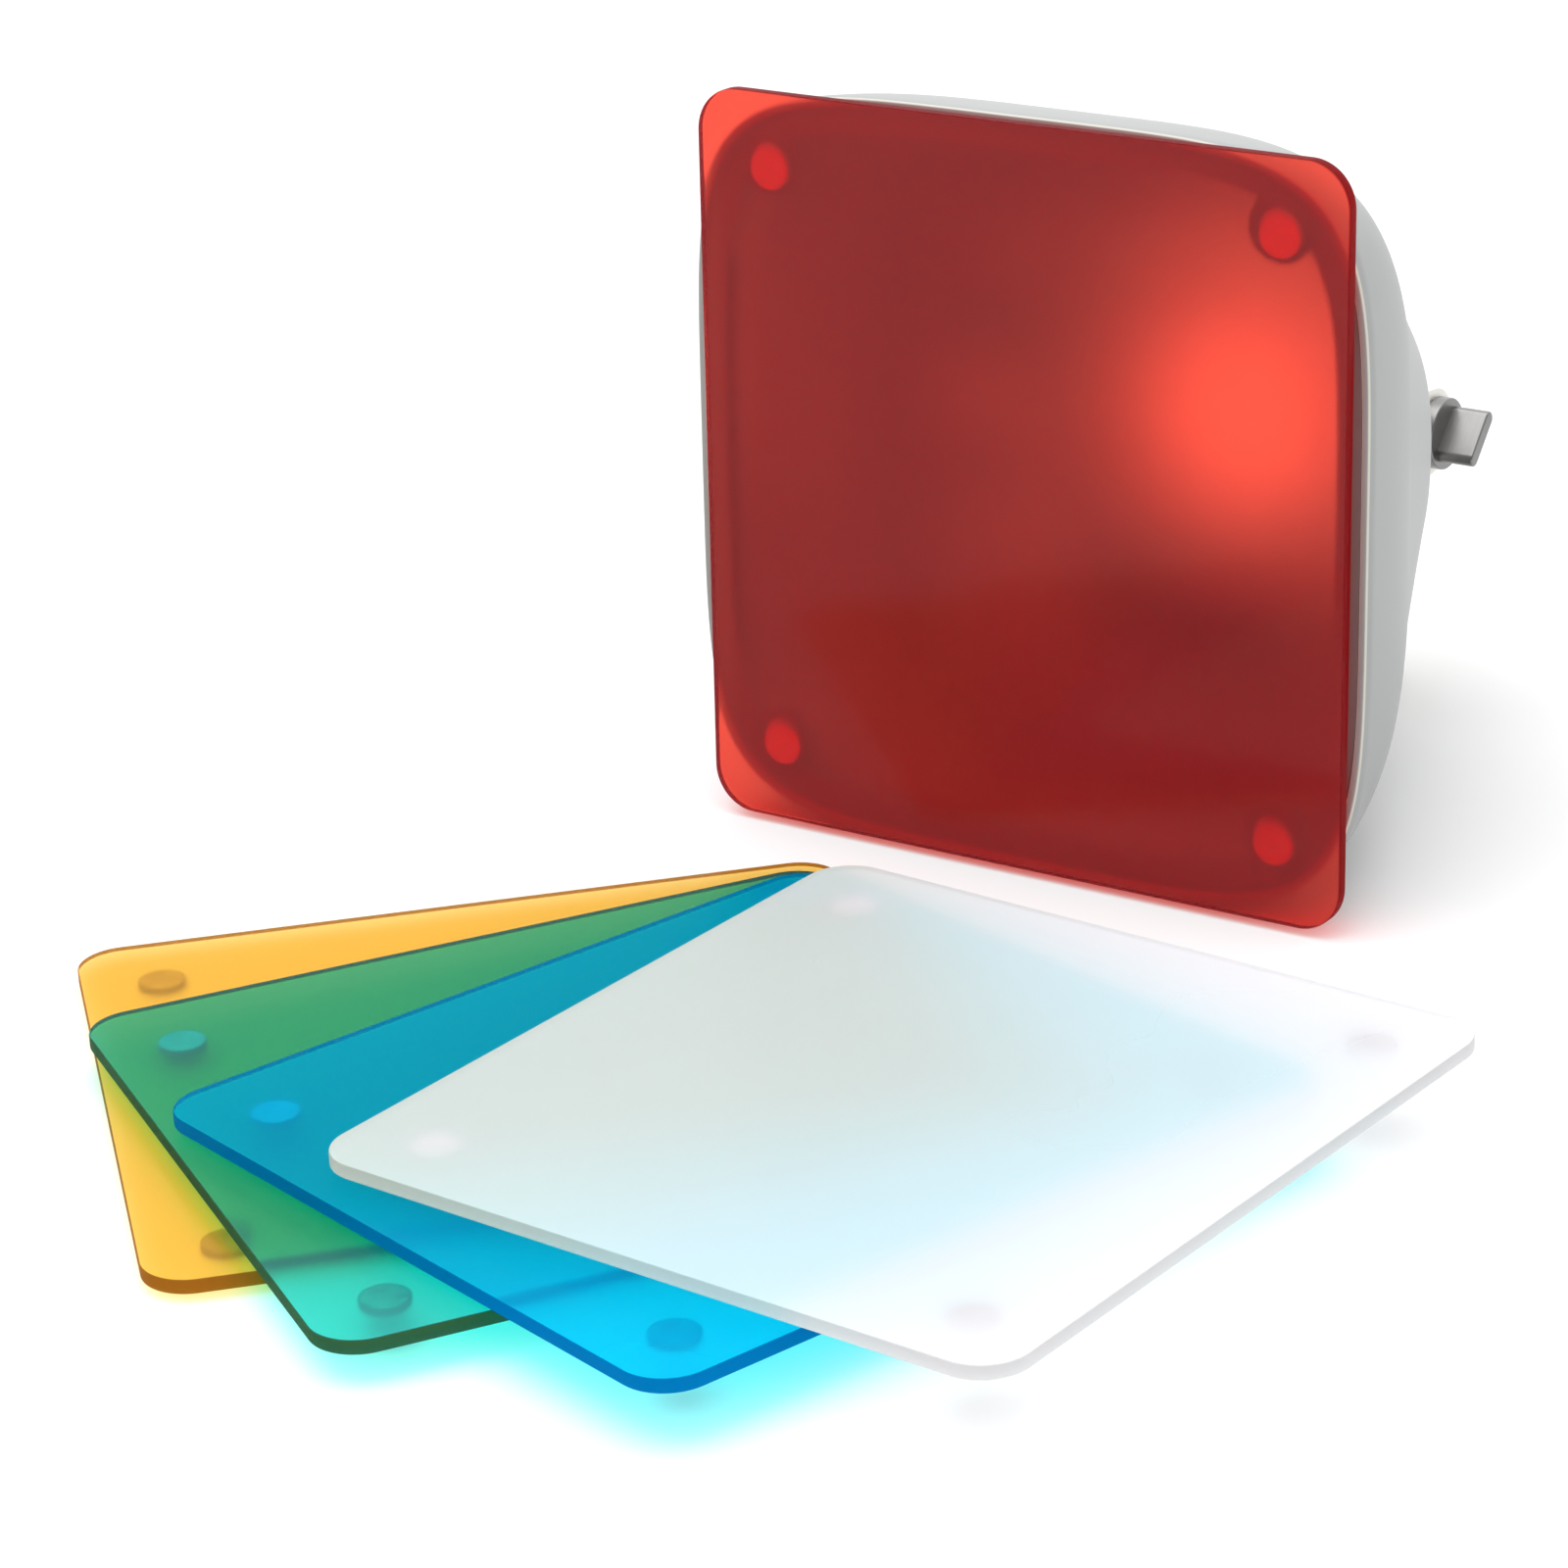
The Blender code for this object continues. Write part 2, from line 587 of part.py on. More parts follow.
def build_hinge(pivot):
    """Pieces that turn with the head, drawn about the hinge axis."""

    def lay(a, b, h):
        return (h, a, b)

    foot = BACK_Y + GAP - HINGE_Y
    face = foot + BLOCK_PLATE_THICK
    inside = foot + BLOCK_PLATE_THICK / 2
    ear = arc((0, 0), EAR_RADIUS, -90, 90, 14) + [(inside, EAR_RADIUS), (inside, -EAR_RADIUS)]
    plate = block((-EAR_OUTER, foot, -BLOCK_PLATE_HALF), (EAR_OUTER, face, BLOCK_PLATE_HALF))
    hinge = solid("hinge_block", plate, "cream", pivot)
    for side, low, high in (("left", -EAR_OUTER, -EAR_INNER), ("right", EAR_INNER, EAR_OUTER)):
        piece = solid(f"hinge_ear_{side}", slab(ear, low, high, lay), "cream", pivot)
        combine(hinge, piece, "UNION")
    reach = EAR_OUTER + THROUGH
    bore = rod(STUD_RADIUS + GAP, -reach, reach, "X", sides=24)
    combine(hinge, solid("hinge_bore", bore, "black", pivot), "DIFFERENCE")
    seat = face + GAP
    for i, x in enumerate((-HINGE_SCREW_X, HINGE_SCREW_X)):
        hole = rod(SCREW_HOLE, foot - THROUGH, face + THROUGH, "Y", (x, 0, 0), 16)
        combine(hinge, solid(f"block_hole_{i}", hole, "black", pivot), "DIFFERENCE")
        profile = [
            (SCREW_RADIUS, foot - COVER_WALL - 1.5 * MM), (SCREW_RADIUS, seat),
            (SCREW_HEAD, seat), (HEAD_TOP, seat + 1.6 * MM),
        ]
        screw = turned(profile, "Y", (x, 0, 0), 16)
        solid(f"hinge_screw_{i + 1}", screw, "steel", pivot)

    solid("pivot_stud", rod(STUD_RADIUS, *STUD_ENDS, "X"), "steel", pivot)
    nut = rod(NUT_RADIUS, NUT_END_X, -EAR_OUTER - GAP, "X", sides=6)
    nut = solid("lock_nut", nut, "steel", pivot, smooth=0)
    bore = rod(STUD_RADIUS + GAP, NUT_END_X - THROUGH, -EAR_OUTER + THROUGH, "X")
    combine(nut, solid("nut_bore", bore, "black", pivot), "DIFFERENCE")
    for i, low in enumerate((-EAR_INNER + GAP, KNUCKLE_HALF + GAP)):
        ring = washer(WASHER_RADIUS, STUD_RADIUS + GAP, low, low + WASHER_THICK, "X")
        solid(f"friction_washer_{i + 1}", ring, "black", pivot)


def build_wing_knob(pivot):
    """Knob drawn about its own axis, which is the hinge axis."""
    front = EAR_OUTER + 0.5 * MM
    face = front + KNOB_DISC_THICK
    radius = KNOB_DISC_RADIUS
    profile = [(radius, front), (radius, face - KNOB_EDGE), (radius - KNOB_EDGE, face)]
    knob = solid("wing_knob", turned(profile, "X", sides=40), "steel", pivot)
    half = WING_THICK / 2
    reach = WING_LENGTH / 2 - half
    outline = arc((0, reach), half, 0, 180, 10) + arc((0, -reach), half, 180, 360, 10)
    cos, sin = math.cos(WING_ANGLE), math.sin(WING_ANGLE)
    tip = face + WING_REACH

    def lay(a, b, h):
        taper = WING_TAPER if h == tip else 0.0
        a, b = a * (1 - taper), b * (1 - 0.3 * taper)
        return (h, a * cos + b * sin, b * cos - a * sin)

    def make(bm):
        depths = (face - 1 * MM, tip - KNOB_EDGE, tip)
        rings(bm, [[lay(a, b, h) for a, b in outline] for h in depths])

    combine(knob, solid("knob_wing", make, "steel", pivot), "UNION")
    bore = rod(STUD_RADIUS + GAP, front - THROUGH, front + KNOB_BORE_DEPTH, "X")
    combine(knob, solid("knob_bore", bore, "black", pivot), "DIFFERENCE")


# ---------------------------------------------------------------- stand


def hinge_in_world():
    """The hinge axis's Y and Z above the bench, with the head leaning back."""
    y = HINGE_Y * math.cos(LEAN) + HINGE_Z * math.sin(LEAN)
    z = HINGE_Z * math.cos(LEAN) - HINGE_Y * math.sin(LEAN)
    return y, PLATE_CENTRE_Z + z


def build_stand(bench):
    hinge_y, hinge_z = hinge_in_world()
    plate_low, plate_high = FOOT_THICK + GAP, FOOT_THICK + GAP + BASE_THICK

    def lay_flat(a, b, h):
        return (a, b, h)

    base = slab(base_outline(), plate_low, plate_high, lay_flat)
    base = solid("stand_base", base, "cream", bench)
    holes = (
        ("base_hole", 0, LEG_FOOT_Y), ("wall_hole_left", -WALL_HOLE_X, WALL_HOLE_Y),
        ("wall_hole_right", WALL_HOLE_X, WALL_HOLE_Y),
    )
    for name, x, y in holes:
        hole = rod(STAND_HOLE, 0, plate_high + THROUGH, "Z", (x, y, 0), 20)
        combine(base, solid(name, hole, "black", bench), "DIFFERENCE")
    sink = rod(LEG_SCREW_HEAD + 0.4 * MM, 0, plate_low + HEAD_SINK, "Z", (0, LEG_FOOT_Y, 0), 20)
    combine(base, solid("base_sink", sink, "black", bench), "DIFFERENCE")

    leg_low = plate_high + GAP
    half = LEG_THICK / 2
    aim = math.atan2(hinge_z - leg_low, hinge_y - LEG_FOOT_Y)
    side = math.sin(aim) * half
    heel, toe = LEG_FOOT_Y + LEG_FOOT_HALF, LEG_FOOT_Y - LEG_FOOT_HALF
    foot_top, shin = leg_low + LEG_FOOT_THICK, leg_low + 2 * LEG_FOOT_THICK
    outline = [(toe, leg_low), (heel, leg_low), (heel, foot_top), (LEG_FOOT_Y + side + 3 * MM, shin)]
    # the knuckle's arc runs from the leg's rear side over the top to its front side
    middle = math.degrees(aim)
    outline += arc((hinge_y, hinge_z), KNUCKLE_RADIUS, middle - 110, middle + 110, 20)
    outline += [(LEG_FOOT_Y - side - 2 * MM, shin), (toe, foot_top)]

    def lay_leg(a, b, h):
        return (h, a, b)

    leg = solid("stand_leg", slab(outline, -KNUCKLE_HALF, KNUCKLE_HALF, lay_leg), "cream", bench)
    reach = KNUCKLE_HALF + THROUGH
    bore = rod(STUD_RADIUS + GAP, -reach, reach, "X", (0, hinge_y, hinge_z))
    combine(leg, solid("leg_bore", bore, "black", bench), "DIFFERENCE")
    thread_end = leg_low + LEG_SCREW_REACH + 1 * MM
    thread = rod(STAND_HOLE, leg_low - THROUGH, thread_end, "Z", (0, LEG_FOOT_Y, 0), 20)
    combine(leg, solid("leg_thread", thread, "black", bench), "DIFFERENCE")

    neck = plate_low + HEAD_SINK - GAP
    profile = [
        (LEG_SCREW_HEAD, plate_low + 0.2 * MM), (LEG_SCREW_HEAD, neck),
        (LEG_SCREW_RADIUS, neck), (LEG_SCREW_RADIUS, leg_low + LEG_SCREW_REACH),
    ]
    solid("leg_screw", turned(profile, "Z", (0, LEG_FOOT_Y, 0), 20), "steel", bench)

    front_x, rear_x = BASE_FRONT_HALF - 9 * MM, BASE_REAR_HALF - 7 * MM
    front_y, rear_y = BASE_FRONT + 8 * MM, BASE_REAR - 7 * MM
    spots = [(-front_x, front_y), (front_x, front_y), (-rear_x, rear_y), (rear_x, rear_y)]
    edge = 0.5 * MM
    profile = [(FOOT_RADIUS - edge, 0), (FOOT_RADIUS, edge), (FOOT_RADIUS, FOOT_THICK)]
    for i, (x, y) in enumerate(spots):
        foot = turned(profile, "Z", (x, y, 0), 20)
        solid(f"base_foot_{i + 1}", foot, "rubber", bench)


def base_outline():
    """A rounded trapezium, wider at the front."""
    r, flare = BASE_CORNER, BASE_FLARE
    front_x, rear_x = BASE_FRONT_HALF - r, BASE_REAR_HALF - r
    points = arc((front_x, BASE_FRONT + r), r, -90, flare, 5)
    points += arc((rear_x, BASE_REAR - r), r, flare, 90, 5)
    points += arc((-rear_x, BASE_REAR - r), r, 90, 180 - flare, 5)
    points += arc((-front_x, BASE_FRONT + r), r, 180 - flare, 270, 5)
    return points


# ---------------------------------------------------------------- filters


def plate_maker(lay):
    """A filter plate with broken edges; lay(a, b, h) puts width, height and depth in place."""

    def make(bm):
        loops = []
        steps = (
            (PLATE_CHAMFER, 0.0), (0.0, PLATE_CHAMFER),
            (0.0, PLATE_THICK - PLATE_CHAMFER), (PLATE_CHAMFER, PLATE_THICK),
        )
        for inset, depth in steps:
            outline = rounded_rectangle(
                PLATE_WIDTH - 2 * inset, PLATE_HEIGHT - 2 * inset, PLATE_CORNER - inset
            )
            loops.append([lay(a, b, depth) for a, b in outline])
        rings(bm, loops)

    return make


def build_red_filter(head):
    def lay(a, b, h):
        return (a, h, b)

    solid("red_filter", plate_maker(lay), "red", head)
    low = PLATE_THICK + DISC_SEAT
    for i, (x, z) in enumerate(corners(DISC_X, DISC_Z)):
        disc = rod(DISC_RADIUS, low, low + DISC_THICK, "Y", (x, 0, z), 20)
        solid(f"red_disc_{i + 1}", disc, "nickel", head)


def build_spare_filters(bench):
    """Each spare plate lies on the discs of the one above it, face up, with its discs below."""
    for level, (name, (x, y, turn)) in enumerate(FAN.items()):
        long_way = Vector((-math.cos(turn), -math.sin(turn), 0))
        short_way = Vector((math.sin(turn), -math.cos(turn), 0))
        middle = Vector((x, y, 0)) + long_way * PLATE_HEIGHT / 2 + short_way * PLATE_WIDTH / 2
        middle.z = level * LEVEL_PITCH
        holder = empty(f"{name}_filter_place", bench, middle, (0, 0, turn + math.pi / 2))

        def lay(a, b, h):
            return (a, b, DISC_THICK + DISC_SEAT + h)

        solid(f"{name}_filter", plate_maker(lay), name, holder)
        for i, (a, b) in enumerate(corners(DISC_X, DISC_Z)):
            disc = rod(DISC_RADIUS, 0, DISC_THICK, "Z", (a, b, 0), 20)
            solid(f"{name}_disc_{i + 1}", disc, "nickel", holder)


def main():
    clear_scene()
    hinge_y, hinge_z = hinge_in_world()
    bench = empty("set_origin", None, (-SET_CENTRE_X, -SET_CENTRE_Y, 0))
    pivot = empty("head_pivot", bench, (0, hinge_y, hinge_z), (-LEAN, 0, 0))
    head = empty("head_frame", pivot, (0, -HINGE_Y, -HINGE_Z))
    build_front_shell(head)
    build_filter_ring(head)
    build_rear_cover(head)
    build_light_engine(head)
    build_driver(head)
    build_push_button(head)
    build_hinge(pivot)
    build_wing_knob(pivot)
    build_stand(bench)
    build_red_filter(head)
    build_spare_filters(bench)


main()
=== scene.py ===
import json
import math

import bmesh
import bpy
from mathutils import Matrix, Vector


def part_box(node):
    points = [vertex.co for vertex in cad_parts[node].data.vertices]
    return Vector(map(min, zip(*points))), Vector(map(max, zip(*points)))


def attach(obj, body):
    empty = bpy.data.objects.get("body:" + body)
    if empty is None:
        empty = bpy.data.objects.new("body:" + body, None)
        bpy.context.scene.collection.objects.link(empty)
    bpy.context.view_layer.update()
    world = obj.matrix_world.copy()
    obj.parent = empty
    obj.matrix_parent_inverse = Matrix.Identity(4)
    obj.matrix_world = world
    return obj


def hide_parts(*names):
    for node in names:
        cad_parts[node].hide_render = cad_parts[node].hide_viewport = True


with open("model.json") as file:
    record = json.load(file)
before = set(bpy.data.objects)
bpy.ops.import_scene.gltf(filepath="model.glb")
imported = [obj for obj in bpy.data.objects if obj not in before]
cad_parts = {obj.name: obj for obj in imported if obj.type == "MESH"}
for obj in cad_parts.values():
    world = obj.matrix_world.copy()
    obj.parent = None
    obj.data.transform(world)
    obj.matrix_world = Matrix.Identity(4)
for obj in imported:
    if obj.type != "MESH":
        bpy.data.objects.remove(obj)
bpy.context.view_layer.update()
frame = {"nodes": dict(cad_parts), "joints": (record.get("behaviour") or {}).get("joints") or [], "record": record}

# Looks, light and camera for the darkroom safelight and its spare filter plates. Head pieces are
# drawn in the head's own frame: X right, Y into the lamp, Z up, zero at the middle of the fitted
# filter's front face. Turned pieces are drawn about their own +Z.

MM = 0.001
GAP = 0.3 * MM

# Filter plates
PLATE_WIDTH, PLATE_HEIGHT, PLATE_THICK, PLATE_CORNER = 159.88 * MM, 166.68 * MM, 3 * MM, 10 * MM
PLATE_EDGE, PLATE_BAND = 0.32 * MM, 1.2 * MM  # rounded edge, and a ring of faces inside it
ACRYLIC_IOR = 1.49
SAWN_ROUGH = 0.2  # gloss of the sheets' cut edges
DISC_RADIUS, DISC_THICK = 5 * MM, 1.8 * MM
FAN_TURN = {"amber": 45.9, "green": 57.25, "blue": 73.4, "white": 86.15}

# Housing: depths in the head frame, and (half-width, half-height, power, drop) at them
SHELL_X, SHELL_Z = -1.4 * MM, -0.4 * MM
RIM_Y, BAND_Y, CREASE_Y, DOME_Y, BACK_Y = 5.3 * MM, 8.3 * MM, 66 * MM, 95 * MM, 121 * MM
BAND_SHAPE = (83.8 * MM, 84.0 * MM, 4.95, 0.0)
CREASE_SHAPE = (62.8 * MM, 70.9 * MM, 3.6, 8.2 * MM)
DOME_SHAPE = (52.5 * MM, 50.2 * MM, 2.56, 6.1 * MM)
BACK_SHAPE = (31.1 * MM, 28.0 * MM, 2.4, 6.1 * MM)
SIDE_BOW, DROP_LAG = 2.9 * MM, 0.7
CREASE_EDGE, BACK_EDGE, BACK_FLAT_INSET = 0.35 * MM, 1.2 * MM, 2.5 * MM
WALL, COVER_WALL = 2.5 * MM, 2.7 * MM
FLANGE, FLANGE_THICK = 9 * MM, 2.7 * MM
AROUND = 192  # points round the housing
SHARP_ANGLE, BEVEL_ANGLE = math.radians(38), math.radians(40)
CORE = 0.1 * MM  # radius of the tiny flat where a turned piece closes on its axis

# Filter ring
RING_Y, RING_THICK, RIM_WALL, RIM_EDGE = 6.3 * MM, 2.4 * MM, 1.8 * MM, 0.5 * MM
LEDGE_WIDTH, OPENING_INSET, COLLAR_WALL = 5.0 * MM, 7.8 * MM, 1.8 * MM
PAD_RADIUS, PAD_LIFT, SEAT_RADIUS, SEAT_DEPTH = 7.5 * MM, 0.8 * MM, 5.3 * MM, 1.5 * MM
GROOVE_Y, GROOVE_WIDTH, GROOVE_DEPTH, GROOVE_HALF = 6.9 * MM, 1.6 * MM, 1.2 * MM, 45.7 * MM

# Hinge, knob and controls
HINGE_Y, HINGE_Z = 141 * MM, -15 * MM
EAR_OUTER = 28.5 * MM
STUD_RADIUS = 3.0 * MM
KNOB_RADIUS, KNOB_THICK = 8.5 * MM, 3.5 * MM
WING_LENGTH, WING_THICK, WING_REACH = 14.2 * MM, 3.7 * MM, 8.9 * MM
WING_ANGLE = math.radians(41.6)
CONTROL_X, CONTROL_Y, BUTTON_Z, JACK_Z = -63.5 * MM, 84 * MM, 16 * MM, -14 * MM
BUTTON_BOSS, BUTTON_BORE, JACK_BOSS, JACK_BORE = 9 * MM, 5.2 * MM, 8 * MM, 5.8 * MM
BOSS_REACH, BORE_START, BORE_END = 14 * MM, -8 * MM, 20 * MM
FOOT_RADIUS, FOOT_EDGE = 5.0 * MM, 0.4 * MM

# Shallow cooling grooves in the back, above the hinge
VENT_ROWS, VENT_TOP_Z, VENT_PITCH, VENT_WIDTH, VENT_DEPTH = 5, 16.5 * MM, 3.7 * MM, 1.5 * MM, 0.8 * MM
VENT_SHARE = 0.8  # of the flat's width that a groove takes

JOINTS = {joint["name"]: joint for joint in frame["joints"]}
PULL = Vector(JOINTS["filter_pull"]["axis"])
LEAN = math.atan2(PULL.z, -PULL.y)
PIVOT = Matrix.Translation(JOINTS["head_tilt"]["pos_m"]) @ Matrix.Rotation(-LEAN, 4, "X")
HEAD = PIVOT @ Matrix.Translation((0, -HINGE_Y, -HINGE_Z))
ALONG_X = Matrix.Rotation(math.pi / 2, 4, "Y")
ALONG_Y = Matrix.Rotation(-math.pi / 2, 4, "X")
NODES = frame["nodes"]

# Studio and camera
FLOOR_RADIUS, KEY_SIZE, KEY_POWER, KEY_HEIGHT = 6.0, 2.4, 30, 2.0
CAMERA_SPOT, CAMERA_LENS = (0.5482, -0.8202, 0.4417), 116.65
CAMERA_PITCH, CAMERA_HEADING, CAMERA_ROLL = (math.radians(turn) for turn in (-22.08, 34.91, -2.84))


def middle(node):
    low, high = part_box(node)
    return (low + high) / 2


# ---------------------------------------------------------------- node trees


class Finish:
    """A material and short ways to add nodes to it."""

    def __init__(self, name):
        self.material = bpy.data.materials.new(name)
        self.material.use_nodes = True
        self.tree = self.material.node_tree
        self.tree.nodes.clear()
        self.output = self.add("OutputMaterial")
        self.place = self.add("TexCoord").outputs["Object"]

    def add(self, kind, settings=None, **sockets):
        node = self.tree.nodes.new("ShaderNode" + kind)
        for key, value in (settings or {}).items():
            setattr(node, key, value)
        for key, value in sockets.items():
            self.feed(node.inputs[key.replace("_", " ")], value)
        return node

    def feed(self, socket, value):
        if isinstance(value, bpy.types.NodeSocket):
            self.tree.links.new(value, socket)
        elif isinstance(value, (tuple, list)) and socket.type == "RGBA" and len(value) == 3:
            socket.default_value = (*value, 1.0)
        else:
            socket.default_value = value

    def math(self, operation, a, b=0.0, c=0.0):
        node = self.add("Math", {"operation": operation})
        for socket, value in zip(node.inputs, (a, b, c)):
            self.feed(socket, value)
        return node.outputs[0]

    def dot(self, a, b):
        node = self.add("VectorMath", {"operation": "DOT_PRODUCT"})
        self.feed(node.inputs[0], a)
        self.feed(node.inputs[1], b)
        return node.outputs["Value"]

    def spread(self, value, low, high, to_low=0.0, to_high=1.0):
        node = self.add("MapRange", {"interpolation_type": "SMOOTHSTEP"})
        for socket, given in zip(node.inputs, (value, low, high, to_low, to_high)):
            self.feed(socket, given)
        return node.outputs[0]

    def mix(self, share, a, b, blend="MIX"):
        node = self.add("Mix", {"data_type": "RGBA", "blend_type": blend})
        for index, value in ((0, share), (6, a), (7, b)):
            self.feed(node.inputs[index], value)
        return node.outputs[2]

    def mix_shader(self, share, a, b):
        node = self.add("MixShader")
        for socket, value in zip(node.inputs, (share, a, b)):
            self.feed(socket, value)
        return node.outputs[0]

    def noise(self, scale, detail=3.0, rough=0.5, stretch=None):
        where = self.place
        if stretch:
            where = self.add("Mapping", Vector=where, Scale=stretch).outputs[0]
        node = self.add("TexNoise", Vector=where, Scale=scale, Detail=detail, Roughness=rough)
        return node.outputs["Fac"]

    def bump(self, height, strength, distance):
        return self.add("Bump", Strength=strength, Distance=distance, Height=height).outputs[0]

    def done(self, surface, volume=None):
        self.tree.links.new(surface, self.output.inputs["Surface"])
        if volume:
            self.tree.links.new(volume, self.output.inputs["Volume"])
        return self.material


def moulded(name, colour, rough=0.42, grain=0.16, wear=0.35, edge_wear_and_highlight=None, rim=False):
    """Satin moulded plastic: spark-eroded grain, uneven gloss, rubbed edges and a little dust. With
    rim, a painted highlight in the warm edge colour runs all the way round the rounded edge of
    the housing's front lip."""
    f = Finish(name)
    cloud = f.noise(28, 4)
    grainy = f.noise(2600, 2, 0.6)
    pits = f.noise(900, 3, 0.6)
    edge = f.add("NewGeometry").outputs["Pointiness"]
    rubbed = f.spread(f.math("ADD", edge, f.math("MULTIPLY", f.noise(240, 3), 0.03)), 0.53, 0.60)
    light = tuple(min(1.0, c * 1.22 + 0.04) for c in colour)
    deep = tuple(c * 0.93 for c in colour)
    tone = f.mix(f.spread(cloud, 0.3, 0.7), deep, colour)
    tone = f.mix(f.math("MULTIPLY", rubbed, wear), tone, edge_wear_and_highlight or light)
    # painted highlight: the rounded edge of the front lip is painted in the warm edge colour, standing in for the
    # light it catches
    if rim:
        depth = f.math("SUBTRACT", f.dot(f.place, INWARD), HEAD.translation.dot(Vector(INWARD)))
        painted_lip_highlight = f.math(
            "MULTIPLY", f.spread(depth, RIM_Y + 0.03 * MM, RIM_Y + 0.15 * MM),
            f.spread(depth, RIM_Y + 0.4 * MM, RIM_Y + 0.9 * MM, 1.0, 0.0),
        )
        tone = f.mix(f.math("MULTIPLY", painted_lip_highlight, 0.5), tone, edge_wear_and_highlight)
    speck = f.add("TexVoronoi", Vector=f.place, Scale=190.0).outputs["Distance"]
    facing = f.spread(f.dot(f.add("NewGeometry").outputs["Normal"], (0, 0, 1)), 0.2, 0.9)
    dust = f.math("MULTIPLY", f.math("LESS_THAN", speck, 0.045), facing)
    tone = f.mix(f.math("MULTIPLY", dust, 0.35), tone, (0.8, 0.79, 0.76))
    gloss = f.math("ADD", rough - 0.06, f.math("MULTIPLY", cloud, 0.12))
    gloss = f.math("SUBTRACT", gloss, f.math("MULTIPLY", rubbed, 0.12))
    height = f.math("ADD", grainy, f.math("MULTIPLY", pits, 0.8))
    shader = f.add(
        "BsdfPrincipled", Base_Color=tone, Roughness=gloss, IOR=1.47,
        Normal=f.bump(height, grain, 0.06 * MM),
    )
    return f.done(shader.outputs[0])


def acrylic(
    name, through, haze, haze_share, axis=(0, 0, 1), rough=0.36, polish=0.24, shine=0.4, let_by=0.35,
    edge=(1, 1, 1), lit_by=0.97,
):
    """Coloured sheet, frosted most on the face that looks away from axis: rough there, polish on the
    other. through is what 3 mm lets pass, haze is what its faces scatter, let_by is how much of that
    goes on through, and edge is the colour its sawn edges gather. Rays that only carry light go
    straight through, tinted, so that what lies behind or below is lit in the sheet's colour; each
    face passes lit_by of them."""
    f = Finish(name)
    normal = f.add("TexCoord").outputs["Normal"]
    level = f.dot(normal, axis)
    face = f.spread(f.math("ABSOLUTE", level), 0.75, 0.98)
    turned = f.math("SUBTRACT", 1.0, f.math("MULTIPLY", f.add("NewGeometry").outputs["Backfacing"], 2.0))
    show = f.spread(f.math("MULTIPLY", level, turned), -0.5, 0.5)
    frost = f.noise(3400, 2, 0.65)
    patchy = f.noise(13, 2, 0.45)
    saw = f.noise(1900, 2, 0.5, (1.0, 1.0, 0.06))
    face_rough = f.math("ADD", f.spread(show, 0.0, 1.0, rough, polish), f.math("MULTIPLY", patchy, 0.05))
    gloss = f.math("ADD", SAWN_ROUGH, f.math("MULTIPLY", face, f.math("SUBTRACT", face_rough, SAWN_ROUGH)))
    frosted = f.math("MULTIPLY", face, f.math("SUBTRACT", 1.0, show))
    marks = f.math("MULTIPLY", saw, f.math("SUBTRACT", 1.0, face))
    height = f.math("ADD", f.math("MULTIPLY", frost, frosted), marks)
    relief = f.bump(height, 0.06, 0.03 * MM)
    bent = f.add(
        "BsdfRefraction", {"distribution": "BECKMANN"},
        Color=(1, 1, 1), Roughness=gloss, IOR=ACRYLIC_IOR, Normal=relief,
    )
    mirror = f.add("BsdfGlossy", Color=(1, 1, 1), Roughness=gloss, Normal=relief)
    fresnel = f.math("MULTIPLY", f.add("Fresnel", IOR=ACRYLIC_IOR, Normal=relief).outputs[0], shine)
    clear = f.mix_shader(fresnel, bent.outputs[0], mirror.outputs[0])
    tint = f.mix(face, edge, haze)
    scatter = f.mix_shader(
        f.spread(face, 0.0, 1.0, 0.7, let_by), f.add("BsdfDiffuse", Color=tint, Normal=relief).outputs[0],
        f.add("BsdfTranslucent", Color=tint, Normal=relief).outputs[0],
    )
    dusty = f.math("MULTIPLY", f.math("ADD", 0.92, f.math("MULTIPLY", patchy, 0.16)), haze_share)
    seen = f.mix_shader(f.spread(face, 0.0, 1.0, 0.5, dusty), clear, scatter)
    path = f.add("LightPath")
    straight = f.math("MAXIMUM", path.outputs["Is Shadow Ray"], path.outputs["Is Diffuse Ray"])
    surface = f.mix_shader(straight, seen, f.add("BsdfTransparent", Color=(lit_by,) * 3).outputs[0])
    losses = [-math.log(max(share, 1e-4)) / PLATE_THICK for share in through]
    density = max(losses) * 1.001
    volume = f.add("VolumeAbsorption", Color=tuple(1 - loss / density for loss in losses), Density=density)
    return f.done(surface, volume.outputs[0])


def metal(name, colour, rough, brush=(1, 1, 1), streaks=0.12, relief=0.12, scale=900, tarnish=0.15):
    """Bare or plated metal: fine machining lines, uneven gloss and a dull bloom in places."""
    f = Finish(name)
    lines = f.noise(scale, 4, 0.7, brush)
    cloud = f.noise(130, 4)
    edge = f.add("NewGeometry").outputs["Pointiness"]
    bright = f.spread(edge, 0.52, 0.60)
    tone = f.mix(f.spread(lines, 0.3, 0.7), tuple(c * 0.86 for c in colour), colour)
    bloom = f.math("MULTIPLY", f.spread(cloud, 0.5, 0.8), tarnish)
    tone = f.mix(bloom, tone, tuple(c * 0.6 for c in colour))
    tone = f.mix(f.math("MULTIPLY", bright, 0.6), tone, tuple(min(1, c * 1.25) for c in colour))
    gloss = f.math("ADD", rough, f.math("MULTIPLY", f.math("SUBTRACT", lines, 0.5), streaks))
    gloss = f.math("ADD", gloss, f.math("MULTIPLY", f.math("SUBTRACT", cloud, 0.5), 0.12))
    shader = f.add(
        "BsdfPrincipled", Base_Color=tone, Metallic=1.0, Roughness=gloss,
        Normal=f.bump(lines, relief, 0.03 * MM),
    )
    return f.done(shader.outputs[0])


